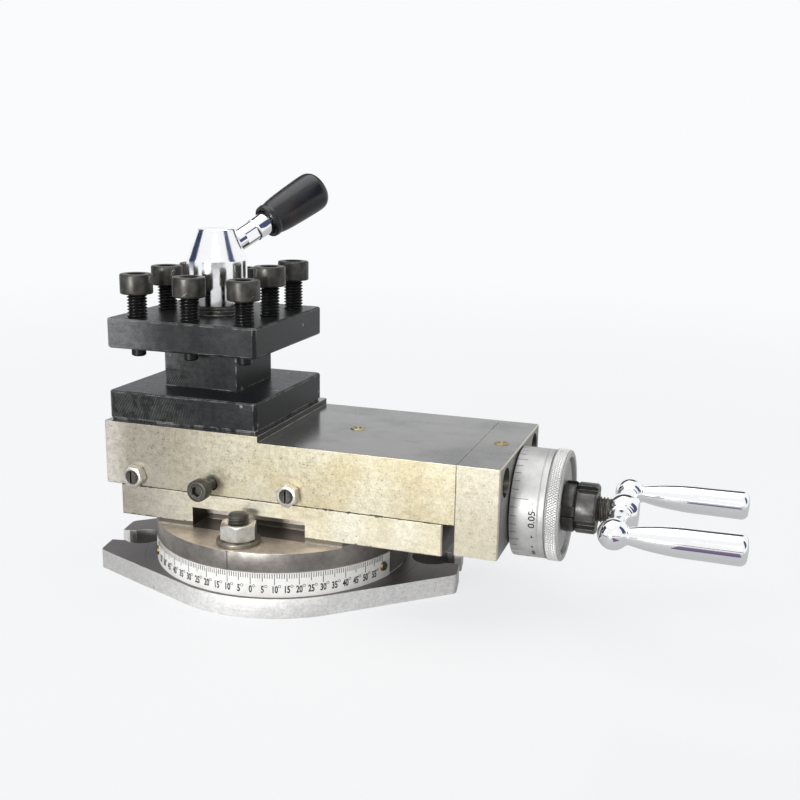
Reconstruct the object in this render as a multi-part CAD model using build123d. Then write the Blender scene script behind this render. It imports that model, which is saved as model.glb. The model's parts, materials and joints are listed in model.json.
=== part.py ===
from build123d import *
import math
import os

os.makedirs("parts", exist_ok=True)

# Four-way lathe tool post on its compound slide, in millimetres, +Z up.
# The origin is on the swivel axis, in the face that the base plate stands on.
# X runs along the base plate's end slots. Everything above the base plate is drawn along X
# and then turned about Z to its rest angle.

# Rest pose
swivel_rest_angle = 10.0

# Fits and gaps
running_gap = 0.05
seat_gap = 0.02
sliding_gap = 0.04
edge_break = 0.5
fine_edge_break = 0.2
thread_end_chamfer = 1.0

# Base plate
plate_length = 150.0
plate_end_width = 35.0
plate_margin = 2.2
plate_thickness = 8.0
plate_corner_radius = 3.0
end_slot_width = 11.8
end_pocket_radius = 8.5
end_pocket_inset = 12.0
boss_wall = 2.6
boss_height = 10.0

# Swivel clamping: two bolts in arc slots, heads in a groove that opens at the underside
bolt_stand_off = 7.8
bolt_diameter = 8.0
bolt_slot_width = 9.0
bolt_groove_width = 14.0
bolt_groove_depth = 8.5
bolt_swing = 60.0
bolt_slot_spare_angle = 4.0
bolt_head_width = 12.6
bolt_head_height = 5.5
bolt_stick_out = 3.5
swivel_nut_flats = 13.0
swivel_nut_height = 6.5
swivel_nut_turn = 50.0
swivel_washer_radius = 8.6
swivel_washer_thickness = 1.6

# Angle scale round the boss
scale_thickness = 0.6
scale_height = 9.8
scale_half_angle = 65.5
scale_screw_angle = 61.0
scale_screw_head_radius = 2.0
scale_screw_head_height = 0.7
scale_screw_radius = 0.9
scale_screw_length = 4.0
scale_screw_slot_width = 0.5

# Swivel base: disk, spigot, dovetail block
disk_overhang = 0.4
disk_thickness = 7.5
spigot_radius = 12.0
spigot_length = 8.0
block_left = -56.4
block_right = 78.9
block_width = 70.4
block_relief = 2.0
block_thickness = 12.5
arch_width = 48.4
arch_height = 8.5
arch_depth = 12.0
dovetail_angle = 60.0
dovetail_height = 10.0
dovetail_top_width = 46.0
screw_channel_width = 13.0

# Top slide and its travel from the rest place
travel_forward = 4.0
travel_back = 50.0
slide_left = -63.1
slide_right = 83.4
slide_height = 23.3
pad_length = 67.6
pad_height = 2.5
dovetail_roof_gap = 0.4
gib_thickness = 3.0
gib_end_inset = 1.5

# Gib adjusting screws and lock screw, in one row on the front face
gib_screw_pitch = 33.5
lock_screw_x = -15.4
gib_screw_height = 4.6
gib_screw_diameter = 5.0
gib_screw_showing = 0.7
gib_screw_slot_width = 0.9
gib_screw_slot_depth = 1.2
gib_screw_tip_gap = 1.6
gib_nut_flats = 8.0
gib_nut_height = 4.0
gib_nut_turn = 12.0
lock_head_radius = 4.25
lock_head_height = 5.0
lock_head_stand_off = 5.8
lock_hex_flats = 4.0

# End bracket
bracket_thickness = 16.6
bracket_height = 34.6
bracket_screw_spacing = 52.0
bracket_screw_drop = 7.3
bracket_screw_diameter = 6.0
bracket_screw_length = 20.0
bracket_screw_tip_room = 1.0
bracket_screw_head_radius = 5.0
bracket_screw_head_height = 6.0
bracket_screw_hex_flats = 5.0
counterbore_radius = 5.5
counterbore_depth = 10.0
bush_outer_radius = 7.0

# Ball oilers
oiler_radius = 3.0
oiler_depth = 5.0
oiler_rim_height = 0.3
oiler_floor_thickness = 1.0
oiler_bore_radius = 1.5
oiler_lip_radius = 1.15
oiler_lip_depth = 0.3
oiler_ball_radius = 1.4
oiler_ball_drop = 1.15
slide_oiler_x = 32.5
bracket_oiler_inset = 8.0

# Leadscrew, dial and jam nuts
screw_diameter = 10.0
screw_axis_height = 41.2
screw_spare_length = 4.0
thrust_collar_radius = 8.0
thrust_collar_thickness = 3.6
feed_nut_length = 20.0
feed_nut_left = 54.0
feed_nut_height = 14.8
feed_nut_spigot_radius = 6.0
feed_nut_spigot_length = 5.0
dial_face_gap = 0.5
dial_radius = 21.2
dial_drum_length = 14.0
dial_groove_width = 0.5
dial_groove_depth = 1.2
dial_rim_radius = 21.6
dial_rim_width = 3.5
dial_rim_chamfer = 1.0
dial_recess_depth = 0.8
dial_bore_radius = 9.0
sleeve_flange_radius = 18.0
sleeve_flange_gap = 0.8
sleeve_flange_thickness = 2.6
dial_spring_thickness = 0.6
dial_spring_width = 4.0
dial_spring_inset = 2.0
jam_nut_radius = 9.8
jam_nut_chamfer = 0.7
jam_nut_slot_width = 4.3
jam_nut_slot_depth = 2.5
jam_nut_slots = 4
thin_nut_height = 5.0
thin_nut_turn = -3.0
full_nut_height = 8.0
full_nut_turn = 27.0

# Ball crank and its two handles
thread_showing = 2.5
crank_hub_radius = 7.3
crank_hub_face_radius = 4.9
crank_throw = 26.7
crank_ball_radius = 5.7
crank_ball_set_back = 0.7
crank_neck_root_radius = 4.3
crank_neck_waist_radius = 3.4
crank_bore_depth = 2.0
crank_tilt = -1.0
handle_root_radius = 3.0
handle_belly_radius = 5.35
handle_end_radius = 5.6
handle_belly_distance = 22.0
handle_end_distance = 45.0
handle_end_rounding = 2.2
handle_tenon_radius = 2.5
handle_tenon_length = 6.0

# Four-way turret
turret_x = -29.6
turret_width = 65.0
turret_base_thickness = 12.0
tool_slot_height = 17.2
turret_top_thickness = 12.0
turret_column_width = 32.3
turret_boss_radius = 12.0
turret_boss_height = 1.9
turret_corner_chamfer = 1.2
turret_edge_chamfer = 0.6
turret_foot_height = 0.9
turret_foot_inset = 0.9
stud_diameter = 12.0
stud_head_radius = 10.0
stud_head_height = 5.0
stud_hub_engagement = 16.0

# Eight tool clamping screws: three by three without the middle one
tool_screw_inset = 9.0
tool_screw_diameter = 8.0
tool_screw_length = 25.0
tool_screw_head_radius = 6.5
tool_screw_head_height = 8.0
tool_screw_hex_flats = 6.0
tool_screw_hex_depth = 4.0
tool_screw_head_chamfer = 0.8
tool_screw_point_radius = 2.9
tool_screw_point_length = 3.2
tool_screw_turn_step = 17.0

# Clamping lever
clamp_washer_thickness = 1.4
lever_hub_radius = 12.25
lever_hub_cylinder_height = 18.6
lever_hub_cone_height = 12.2
lever_hub_top_radius = 7.6
lever_azimuth = 60.0
lever_elevation = 27.0
lever_root_height = 20.0
lever_rod_start = 7.0
lever_rod_root_radius = 4.2
lever_rod_tip_radius = 4.8
lever_flats_start = 14.0
lever_flats_end = 20.4
lever_flats_width = 7.4
lever_rod_end = 48.0
knob_start = 28.7
knob_length = 31.2
knob_lip_radius = 6.4
knob_lip_length = 2.4
knob_waist_radius = 6.05
knob_shoulder_radius = 7.3
knob_shoulder_part = 0.4
knob_belly_radius = 7.7
knob_dome_length = 5.5
knob_mouth_recess = 1.2

# Heights of the stack, worked out from the sizes above
boss_top = plate_thickness + boss_height
bolt_circle_radius = block_width / 2 + bolt_stand_off
boss_radius = bolt_circle_radius + bolt_groove_width / 2 + boss_wall
plate_arc_radius = boss_radius + plate_margin
disk_radius = boss_radius + disk_overhang
disk_bottom = boss_top + seat_gap
disk_top = boss_top + disk_thickness
block_underside = disk_top + block_relief
slideway = block_underside + block_thickness
slide_bottom = slideway + sliding_gap
slide_top = slideway + slide_height
pad_top = slide_top + pad_height
dovetail_run = dovetail_height / math.tan(math.radians(dovetail_angle))
dovetail_root_width = dovetail_top_width - 2 * dovetail_run
dovetail_roof = slideway + dovetail_height + dovetail_roof_gap
block_front = block_width / 2
gib_screw_z = slideway + gib_screw_height
bracket_right = slide_right + bracket_thickness
turret_bottom = pad_top + sliding_gap
turret_top = turret_bottom + turret_base_thickness + tool_slot_height + turret_top_thickness
hub_bottom = turret_top + turret_boss_height + clamp_washer_thickness + sliding_gap
tool_screw_offset = turret_width / 2 - tool_screw_inset
dial_left = bracket_right + dial_face_gap
dial_right = dial_left + dial_drum_length + dial_groove_width + dial_rim_width
flange_face = dial_right - dial_recess_depth
full_nut_start = flange_face + thin_nut_height
crank_hub_x = full_nut_start + full_nut_height + thread_showing + crank_hub_radius
screw_left = feed_nut_left - travel_back - screw_spare_length
screw_channel_left = screw_left - travel_forward - screw_spare_length
bracket_screw_reach = bracket_screw_length - (bracket_thickness - counterbore_depth)
leadscrew_line = Plane(origin=(0, 0, screw_axis_height), x_dir=(0, 1, 0), z_dir=(1, 0, 0))

# How far each tool screw is screwed out: its head's underside above the turret's top
tool_screw_heights = {
    (-1, -1): 9.0,
    (0, -1): 9.0,
    (1, -1): 9.0,
    (1, 0): 12.0,
    (1, 1): 12.0,
    (0, 1): 8.0,
    (-1, 1): 9.0,
    (-1, 0): 10.0,
}


def save(node, *pieces):
    """Write one node as it is drawn. Identical pieces share a node as separate solids."""
    solids = [solid for piece in pieces for solid in piece.solids()]
    shape = solids[0] if len(solids) == 1 else Compound(children=solids)
    shape.label = node
    export_step(shape, f"parts/{node}.step")


def save_turned(node, *pieces):
    """Write one node of the swivelled upper part, turned to the rest angle."""
    save(node, *[piece.rotate(Axis.Z, -swivel_rest_angle) for piece in pieces])


def rod(radius, start, end):
    """A round bar along +Z between two heights."""
    return Pos(0, 0, start) * Cylinder(radius, end - start, align=(Align.CENTER, Align.CENTER, Align.MIN))


def rod_x(radius, start, end, y=0.0, z=0.0):
    """A round bar along +X between two places."""
    return Pos(start, y, z) * Rot(0, 90, 0) * rod(radius, 0, end - start)


def rod_y(radius, start, end, x=0.0, z=0.0):
    """A round bar along +Y between two places."""
    return Pos(x, start, z) * Rot(-90, 0, 0) * rod(radius, 0, end - start)


def block(x_range, y_range, z_range):
    """A box between three pairs of limits."""
    size = [high - low for low, high in (x_range, y_range, z_range)]
    corner = (x_range[0], y_range[0], z_range[0])
    return Pos(*corner) * Box(*size, align=(Align.MIN, Align.MIN, Align.MIN))


def turned(profile):
    """Revolve a closed outline of (radius, height) points about Z."""
    outline = Polyline(*profile, close=True)
    face = Plane.XZ * make_face(outline)
    return revolve(face, Axis.Z)


def hex_prism(flats, height):
    """A hexagon bar standing on the XY plane, with two flats across Y."""
    return extrude(RegularPolygon(flats / 2, 6, major_radius=False), height)


def hex_nut(flats, height, bore_radius, chamfer_both=True):
    """A hexagon nut standing on the XY plane, its corners turned off at the ends."""
    corner_radius = flats / math.sqrt(3)
    flat_radius = flats / 2
    drop = (corner_radius - flat_radius) * math.tan(math.radians(30))
    lower = drop if chamfer_both else 0.0
    lower_radius = flat_radius if chamfer_both else corner_radius
    barrel = turned([
        (0, 0),
        (lower_radius, 0),
        (corner_radius, lower),
        (corner_radius, height - drop),
        (flat_radius, height),
        (0, height),
    ])
    return (hex_prism(flats, height) & barrel) - rod(bore_radius, -1, height + 1)


def arc_slot(radius, width, half_angle, height):
    """Two curved slots, one in front of the axis and one behind, standing on the XY plane."""
    slots = [
        SlotArc(CenterArc((0, 0), radius, 90 * side - half_angle, 2 * half_angle), width)
        for side in (-1, 1)
    ]
    return extrude(slots[0] + slots[1], height)


def socket_screw(diameter, length, head_radius, head_height, hex_flats, hex_depth, head_chamfer, point=None):
    """A socket head screw along Z: the head's underside is at height 0 and the shank hangs below.

    A dog point is given as its (radius, length).
    """
    tip_chamfer = diameter / 10
    shank_radius = diameter / 2
    tip_radius, point_length = point or (shank_radius, 0.0)
    tip = [(0, -length), (tip_radius - tip_chamfer, -length), (tip_radius, -length + tip_chamfer)]
    if point:
        step = shank_radius - tip_radius
        tip += [(tip_radius, -length + point_length), (shank_radius, -length + point_length + step)]
    body = turned(tip + [
        (shank_radius, 0),
        (head_radius, 0),
        (head_radius, head_height - head_chamfer),
        (head_radius - head_chamfer, head_height),
        (0, head_height),
    ])
    return body - Pos(0, 0, head_height - hex_depth) * hex_prism(hex_flats, hex_depth + 1)


# Base plate: a round middle drawn out to two slotted ends
def make_base_plate():
    half_length = plate_length / 2
    half_end = plate_end_width / 2
    corner_distance = math.hypot(half_length, half_end)
    corner_angle = math.atan2(half_end, half_length)
    touch_angle = corner_angle + math.acos(plate_arc_radius / corner_distance)
    touch_x = plate_arc_radius * math.cos(touch_angle)
    touch_y = plate_arc_radius * math.sin(touch_angle)
    front = ThreePointArc((-touch_x, -touch_y), (0, -plate_arc_radius), (touch_x, -touch_y))
    rear = ThreePointArc((touch_x, touch_y), (0, plate_arc_radius), (-touch_x, touch_y))
    right_end = Polyline((touch_x, -touch_y), (half_length, -half_end), (half_length, half_end), (touch_x, touch_y))
    left_end = Polyline((-touch_x, touch_y), (-half_length, half_end), (-half_length, -half_end), (-touch_x, -touch_y))
    outline = make_face([front, right_end, rear, left_end])
    corners = outline.vertices().filter_by(lambda corner: abs(corner.X) > half_length - 1)
    outline = fillet(corners, plate_corner_radius)
    plate = extrude(outline, plate_thickness) + rod(boss_radius, plate_thickness, boss_top)
    for side in (-1, 1):
        pocket_x = side * (half_length - end_pocket_inset)
        plate -= Pos(pocket_x, 0) * rod(end_pocket_radius, -1, plate_thickness + 1)
        mouth = (pocket_x, side * plate_length) if side > 0 else (side * plate_length, pocket_x)
        plate -= block(mouth, (-end_slot_width / 2, end_slot_width / 2), (-1, plate_thickness + 1))
    slot_half_angle = bolt_swing + bolt_slot_spare_angle
    groove_half_angle = slot_half_angle + bolt_slot_spare_angle
    plate -= arc_slot(bolt_circle_radius, bolt_slot_width, slot_half_angle, boss_top + 1)
    plate -= arc_slot(bolt_circle_radius, bolt_groove_width, groove_half_angle, bolt_groove_depth)
    plate -= rod(spigot_radius + running_gap, boss_top - spigot_length - edge_break, boss_top + 1)
    plate -= scale_screw_places(rod(scale_screw_radius, -scale_screw_length, 0))
    return plate


def scale_screw_places(piece):
    """Copy a piece drawn along Z to both scale screws, with +Z pointing out of the boss."""
    outer = boss_radius + scale_thickness
    height = plate_thickness + scale_height / 2
    copies = []
    for side in (-1, 1):
        angle = -90 + side * scale_screw_angle
        copies.append(Pos(0, 0, height) * Rot(0, 0, angle) * Pos(outer, 0, 0) * Rot(0, 90, 0) * piece)
    return copies


def make_angle_scale():
    """The thin strip that carries the degree marks, bent round the front of the boss."""
    ring = Circle(boss_radius + scale_thickness) - Circle(boss_radius)
    reach = 2 * disk_radius
    half = math.radians(scale_half_angle)
    edge = (reach * math.sin(half), -reach * math.cos(half))
    wedge = make_face(Polyline((0, 0), (-edge[0], edge[1]), (-edge[0], -2 * reach), (edge[0], -2 * reach), edge, close=True))
    strip = Pos(0, 0, plate_thickness) * extrude(ring & wedge, scale_height)
    return strip - scale_screw_places(rod(scale_screw_radius, -scale_screw_length, 1))


def make_scale_screws():
    head = turned([
        (0, 0),
        (scale_screw_head_radius, 0),
        (scale_screw_head_radius * 0.8, scale_screw_head_height),
        (0, scale_screw_head_height),
    ])
    reach = (-scale_screw_head_radius, scale_screw_head_radius)
    width = (-scale_screw_slot_width / 2, scale_screw_slot_width / 2)
    slot_cut = block(reach, width, (scale_screw_head_height / 2, 1))
    screw = head + rod(scale_screw_radius, -scale_screw_length, 0) - slot_cut
    return scale_screw_places(screw)


# Swivel base: a graduated disk with the dovetail block cast on top
def dovetail_prism(root_width, top_width, bottom, top, x_range):
    """A symmetric dovetail along X."""
    section = make_face(Polyline(
        (-root_width / 2, bottom),
        (root_width / 2, bottom),
        (top_width / 2, top),
        (-top_width / 2, top),
        close=True,
    ))
    return Pos(x_range[0], 0, 0) * extrude(Plane.YZ * section, x_range[1] - x_range[0])


def make_swivel_base():
    faces = (-block_front, block_front)
    ends = (block_left, block_right)
    disk = rod(disk_radius, disk_bottom, disk_top)
    foot = rod(disk_radius, disk_top, block_underside) & block((-disk_radius, disk_radius), faces, (disk_top, block_underside))
    body = block(ends, faces, (block_underside, slideway))
    body = chamfer(body.edges().filter_by(Axis.Z), edge_break)
    body = chamfer(body.edges().group_by(Axis.Z)[-1], fine_edge_break)
    tail = dovetail_prism(dovetail_root_width, dovetail_top_width, slideway, slideway + dovetail_height, ends)
    base = disk + foot + body + tail
    base += rod(spigot_radius, disk_bottom - spigot_length, disk_bottom)
    for side in (-1, 1):
        depth = sorted((side * block_front * 2, side * (block_front - arch_depth)))
        base -= block((-arch_width / 2, arch_width / 2), depth, (disk_top, disk_top + arch_height))
        base -= Pos(0, side * bolt_circle_radius, 0) * rod(bolt_slot_width / 2, boss_top - 1, disk_top + 1)
    half_channel = screw_channel_width / 2
    channel_floor = screw_axis_height - half_channel - sliding_gap
    channel_top = slideway + dovetail_height + 1
    base -= block((screw_channel_left, block_right + 1), (-half_channel, half_channel), (channel_floor, channel_top))
    nut_middle = feed_nut_left + feed_nut_length / 2
    base -= Pos(nut_middle, 0) * rod(feed_nut_spigot_radius + seat_gap, channel_floor - feed_nut_spigot_length, channel_floor)
    return base


def make_feed_nut():
    """The nut that the leadscrew turns in, let into the channel of the dovetail block."""
    half = screw_channel_width / 2 - seat_gap
    floor = screw_axis_height - screw_channel_width / 2 - sliding_gap
    ends = (feed_nut_left, feed_nut_left + feed_nut_length)
    nut = block(ends, (-half, half), (floor, floor + feed_nut_height))
    nut += Pos(sum(ends) / 2, 0) * rod(feed_nut_spigot_radius, floor - feed_nut_spigot_length + seat_gap, floor)
    return nut - rod_x(screw_diameter / 2 + running_gap, ends[0] - 1, ends[1] + 1, z=screw_axis_height)


def both_bolts(piece):
    """Copy a piece drawn on the swivel axis to the front and rear swivel bolts."""
    return [Pos(0, side * bolt_circle_radius, 0) * piece for side in (-1, 1)]


def make_swivel_bolt():
    head_top = bolt_groove_depth - seat_gap
    head_bottom = head_top - bolt_head_height
    tip = disk_top + swivel_washer_thickness + swivel_nut_height + bolt_stick_out
    half = bolt_head_width / 2
    head = block((-half, half), (-half, half), (head_bottom, head_top))
    shank = turned([
        (0, head_top),
        (bolt_diameter / 2, head_top),
        (bolt_diameter / 2, tip - thread_end_chamfer),
        (bolt_diameter / 2 - thread_end_chamfer, tip),
        (0, tip),
    ])
    return head + shank


def make_swivel_washer():
    washer = rod(swivel_washer_radius, 0, swivel_washer_thickness)
    washer -= rod(bolt_diameter / 2 + seat_gap, -1, swivel_washer_thickness + 1)
    return Pos(0, 0, disk_top) * washer


def make_swivel_nut():
    nut = hex_nut(swivel_nut_flats, swivel_nut_height, bolt_diameter / 2 + seat_gap)
    return Pos(0, 0, disk_top + swivel_washer_thickness) * Rot(0, 0, swivel_nut_turn) * nut


# Top slide: female dovetail, raised pad for the turret, gib on the front side
def flank(height):
    """Half width of the male dovetail at a height above the slideway."""
    return dovetail_root_width / 2 + height / math.tan(math.radians(dovetail_angle))


gib_slant_width = gib_thickness / math.sin(math.radians(dovetail_angle))
front_pocket = gib_slant_width + 2 * sliding_gap
screw_line_y = -flank(gib_screw_height) - front_pocket


def make_top_slide():
    faces = (-block_front, block_front)
    roof_height = dovetail_roof - slideway
    body = block((slide_left, slide_right), faces, (slide_bottom, slide_top))
    body += block((slide_left, slide_left + pad_length), faces, (slide_top, pad_top))
    left_uprights = body.edges().filter_by(Axis.Z).group_by(Axis.X)[0]
    body = chamfer(left_uprights, edge_break)
    body = chamfer(body.edges().group_by(Axis.Z)[0], fine_edge_break)
    tail = make_face(Polyline(
        (-flank(0) - front_pocket, slideway),
        (flank(0) + sliding_gap, slideway),
        (flank(roof_height) + sliding_gap, dovetail_roof),
        (-flank(roof_height) - front_pocket, dovetail_roof),
        close=True,
    ))
    length = slide_right - slide_left
    body -= Pos(slide_left - 1, 0, 0) * extrude(Plane.YZ * tail, length + 2)
    head_top = dovetail_roof + stud_head_height + dovetail_roof_gap
    body -= Pos(turret_x, 0) * rod(stud_head_radius + seat_gap, dovetail_roof - 1, head_top)
    body -= Pos(turret_x, 0) * rod(stud_diameter / 2 + seat_gap, dovetail_roof, pad_top + 1)
    for x in (lock_screw_x - gib_screw_pitch, lock_screw_x, lock_screw_x + gib_screw_pitch):
        body -= rod_y(gib_screw_diameter / 2 + running_gap, -block_front - 1, -flank(0), x, gib_screw_z)
    for side in (-1, 1):
        y = side * bracket_screw_spacing / 2
        z = slide_top - bracket_screw_drop
        hole_end = slide_right - bracket_screw_reach - bracket_screw_tip_room
        body -= rod_x(bracket_screw_diameter / 2 + seat_gap, hole_end, slide_right + 1, y, z)
    body -= Pos(slide_oiler_x, 0) * rod(oiler_radius + seat_gap, slide_top - oiler_depth, slide_top + 1)
    return body


def make_gib():
    """The adjusting strip between the front flanks, a little shorter than the slide."""
    low = sliding_gap
    high = dovetail_height - sliding_gap
    section = make_face(Polyline(
        (-flank(low) - sliding_gap, slideway + low + sliding_gap),
        (-flank(high) - sliding_gap, slideway + high),
        (-flank(high) - sliding_gap - gib_slant_width, slideway + high),
        (-flank(low) - sliding_gap - gib_slant_width, slideway + low + sliding_gap),
        close=True,
    ))
    start = slide_left + gib_end_inset
    length = slide_right - slide_left - 2 * gib_end_inset
    return Pos(start, 0, 0) * extrude(Plane.YZ * section, length)


def gib_places(piece):
    """Copy a piece drawn at the middle screw to the two outer gib screws."""
    return [Pos(side * gib_screw_pitch, 0, 0) * piece for side in (-1, 1)]


def make_gib_screw():
    outer = -block_front - gib_nut_height - gib_screw_showing
    screw = rod_y(gib_screw_diameter / 2, outer, screw_line_y - gib_screw_tip_gap, lock_screw_x, gib_screw_z)
    screw = chamfer(screw.edges().group_by(Axis.Y)[0], edge_break)
    half = gib_screw_slot_width / 2
    reach = (gib_screw_z - gib_screw_diameter, gib_screw_z + gib_screw_diameter)
    slot = block((lock_screw_x - half, lock_screw_x + half), (outer - 1, outer + gib_screw_slot_depth), reach)
    return screw - slot


def make_gib_nut():
    nut = hex_nut(gib_nut_flats, gib_nut_height, gib_screw_diameter / 2 + seat_gap)
    return Pos(lock_screw_x, -block_front, gib_screw_z) * Rot(90, 0, 0) * Rot(0, 0, gib_nut_turn) * nut


def make_lock_screw():
    length = lock_head_stand_off + block_front + screw_line_y - gib_screw_tip_gap
    screw = socket_screw(
        gib_screw_diameter, length, lock_head_radius, lock_head_height, lock_hex_flats,
        lock_head_height / 2, edge_break,
    )
    underside = -block_front - lock_head_stand_off
    return Pos(lock_screw_x, underside, gib_screw_z) * Rot(90, 0, 0) * screw


# End bracket: carries the leadscrew's bush and closes the slide's end
def bracket_screw_places(piece):
    """Copy a piece drawn along Z to both bracket screws, with +Z pointing out of the bracket."""
    seat = bracket_right - counterbore_depth
    z = slide_top - bracket_screw_drop
    return [Pos(seat, side * bracket_screw_spacing / 2, z) * Rot(0, 90, 0) * piece for side in (-1, 1)]


def make_end_bracket():
    faces = (-block_front, block_front)
    body = block((slide_right, bracket_right), faces, (slide_top - bracket_height, slide_top))
    body = chamfer(body.faces().sort_by(Axis.X)[-1].edges(), edge_break)
    body = chamfer(body.faces().sort_by(Axis.X)[0].edges(), fine_edge_break)
    body -= rod_x(bush_outer_radius + seat_gap, slide_right, bracket_right + 1, z=screw_axis_height)
    collar_room = thrust_collar_radius + running_gap * 2
    collar_depth = thrust_collar_thickness + running_gap * 2
    body -= rod_x(collar_room, slide_right - 1, slide_right + collar_depth, z=screw_axis_height)
    body -= bracket_screw_places(rod(counterbore_radius, 0, counterbore_depth + 1))
    body -= bracket_screw_places(rod(bracket_screw_diameter / 2 + seat_gap, -bracket_thickness, 1))
    oiler_x = bracket_right - bracket_oiler_inset
    body -= Pos(oiler_x, 0) * rod(oiler_radius + seat_gap, slide_top - oiler_depth, slide_top + 1)
    return body


def make_bracket_bush():
    start = slide_right + thrust_collar_thickness + running_gap * 2
    bush = rod_x(bush_outer_radius, start, bracket_right, z=screw_axis_height)
    return bush - rod_x(screw_diameter / 2 + running_gap, start - 1, bracket_right + 1, z=screw_axis_height)


def make_bracket_screws():
    screw = socket_screw(
        bracket_screw_diameter, bracket_screw_length, bracket_screw_head_radius, bracket_screw_head_height,
        bracket_screw_hex_flats, bracket_screw_head_height / 2, edge_break,
    )
    return bracket_screw_places(screw)


# Ball oilers: a brass cup pressed flush, with a sprung ball in its mouth
def make_oiler(x):
    floor = -oiler_depth + oiler_floor_thickness
    cup = turned([
        (oiler_bore_radius, floor),
        (oiler_bore_radius, -oiler_lip_depth),
        (oiler_lip_radius, -oiler_lip_depth),
        (oiler_lip_radius + oiler_rim_height, oiler_rim_height),
        (oiler_radius - oiler_rim_height, oiler_rim_height),
        (oiler_radius, 0.0),
        (oiler_radius, -oiler_depth),
        (0, -oiler_depth),
        (0, floor),
    ])
    return Pos(x, 0, slide_top) * cup


def make_oiler_ball(x):
    return Pos(x, 0, slide_top - oiler_ball_drop) * Sphere(oiler_ball_radius)


# Leadscrew, dial and the parts clamped on the leadscrew
def make_leadscrew():
    radius = screw_diameter / 2
    start = slide_right + running_gap
    end = crank_hub_x + crank_bore_depth
    spindle = turned([
        (0, screw_left),
        (radius - thread_end_chamfer, screw_left),
        (radius, screw_left + thread_end_chamfer),
        (radius, start),
        (thrust_collar_radius, start),
        (thrust_collar_radius, start + thrust_collar_thickness),
        (radius, start + thrust_collar_thickness),
        (radius, end),
        (0, end),
    ])
    return Pos(0, 0, screw_axis_height) * Rot(0, 90, 0) * spindle


def on_leadscrew(piece):
    """Lay a piece drawn along +Z on the leadscrew's axis, with +Z along +X."""
    return Pos(0, 0, screw_axis_height) * Rot(0, 90, 0) * piece


def make_dial_sleeve():
    start = bracket_right + dial_face_gap / 2
    bore = screw_diameter / 2 + seat_gap
    hub_radius = dial_bore_radius - running_gap
    flange_back = flange_face - sleeve_flange_thickness
    sleeve = turned([
        (bore, start),
        (hub_radius, start),
        (hub_radius, flange_back),
        (sleeve_flange_radius, flange_back),
        (sleeve_flange_radius, flange_face),
        (bore, flange_face),
    ])
    return on_leadscrew(sleeve)


def make_dial():
    """The graduated drum with its knurled rim; it turns on the sleeve to be set to zero."""
    drum_end = dial_left + dial_drum_length
    rim_start = drum_end + dial_groove_width
    groove_radius = dial_radius - dial_groove_depth
    pocket_radius = sleeve_flange_radius + sleeve_flange_gap
    pocket_floor = flange_face - sleeve_flange_thickness - dial_spring_thickness - 2 * running_gap
    drum = turned([
        (dial_bore_radius, dial_left),
        (dial_radius - edge_break, dial_left),
        (dial_radius, dial_left + edge_break),
        (dial_radius, drum_end),
        (groove_radius, drum_end),
        (groove_radius, rim_start),
        (dial_rim_radius, rim_start),
        (dial_rim_radius, dial_right - dial_rim_chamfer),
        (dial_rim_radius - dial_rim_chamfer, dial_right),
        (pocket_radius, dial_right),
        (pocket_radius, pocket_floor),
        (dial_bore_radius, pocket_floor),
    ])
    return on_leadscrew(drum)


def make_dial_spring():
    """The friction washer between the dial and the sleeve's flange."""
    flange_back = flange_face - sleeve_flange_thickness
    inner = dial_bore_radius + dial_spring_inset
    ring = rod(inner + dial_spring_width, 0, dial_spring_thickness) - rod(inner, -1, dial_spring_thickness + 1)
    return on_leadscrew(Pos(0, 0, flange_back - running_gap - dial_spring_thickness) * ring)


def make_jam_nut(start, height, turn):
    """A round nut with slots round its rim for a hook spanner."""
    nut = rod(jam_nut_radius, 0, height)
    nut = chamfer(nut.edges(), jam_nut_chamfer)
    nut -= rod(screw_diameter / 2 + seat_gap, -1, height + 1)
    floor = jam_nut_radius - jam_nut_slot_depth
    half_slot = jam_nut_slot_width / 2
    slot = block((floor, jam_nut_radius + 1), (-half_slot, half_slot), (-1, height + 1))
    nut -= [Rot(0, 0, 360 / jam_nut_slots * number) * slot for number in range(jam_nut_slots)]
    return on_leadscrew(Pos(0, 0, start) * Rot(0, 0, turn) * nut)


# Ball crank: a hub ball, two waisted arms and two end balls, turned from one bar
def make_ball_crank():
    waist_start = crank_hub_radius - 1.0
    waist_end = crank_throw - crank_ball_radius + 1.0
    waist_middle = (waist_start + waist_end) / 2
    waist = ThreePointArc(
        (crank_neck_root_radius, waist_start),
        (crank_neck_waist_radius, waist_middle),
        (crank_neck_root_radius, waist_end),
    )
    section = make_face([
        waist,
        Polyline((crank_neck_root_radius, waist_end), (0, waist_end), (0, waist_start), (crank_neck_root_radius, waist_start)),
    ])
    neck = revolve(Plane.XZ * section, Axis.Z)
    half = neck + Pos(0, 0, crank_throw) * Sphere(crank_ball_radius)
    hub = Sphere(crank_hub_radius)
    face_distance = math.sqrt(crank_hub_radius ** 2 - crank_hub_face_radius ** 2)
    hub &= block((-crank_hub_radius, face_distance), (-10, 10), (-10, 10))
    arms = (Rot(90, 0, 0) * half) + (Rot(-90, 0, 0) * half)
    crank = hub + Pos(-crank_ball_set_back, 0, 0) * arms
    crank -= rod_x(screw_diameter / 2 + seat_gap, -crank_hub_radius - 1, crank_bore_depth + seat_gap)
    for side in (-1, 1):
        tenon_start = crank_ball_radius - handle_tenon_length - crank_ball_set_back
        crank -= rod_x(handle_tenon_radius + seat_gap, tenon_start, crank_ball_radius, y=side * crank_throw)
        seat = crank_ball_seat()
        crank -= rod_x(crank_ball_radius, seat, seat + crank_ball_radius, y=side * crank_throw)
    return place_crank(crank)


def crank_ball_seat():
    """Where an end ball is faced off for its handle, from the hub's middle along X."""
    return math.sqrt(crank_ball_radius ** 2 - handle_root_radius ** 2) - crank_ball_set_back


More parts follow.
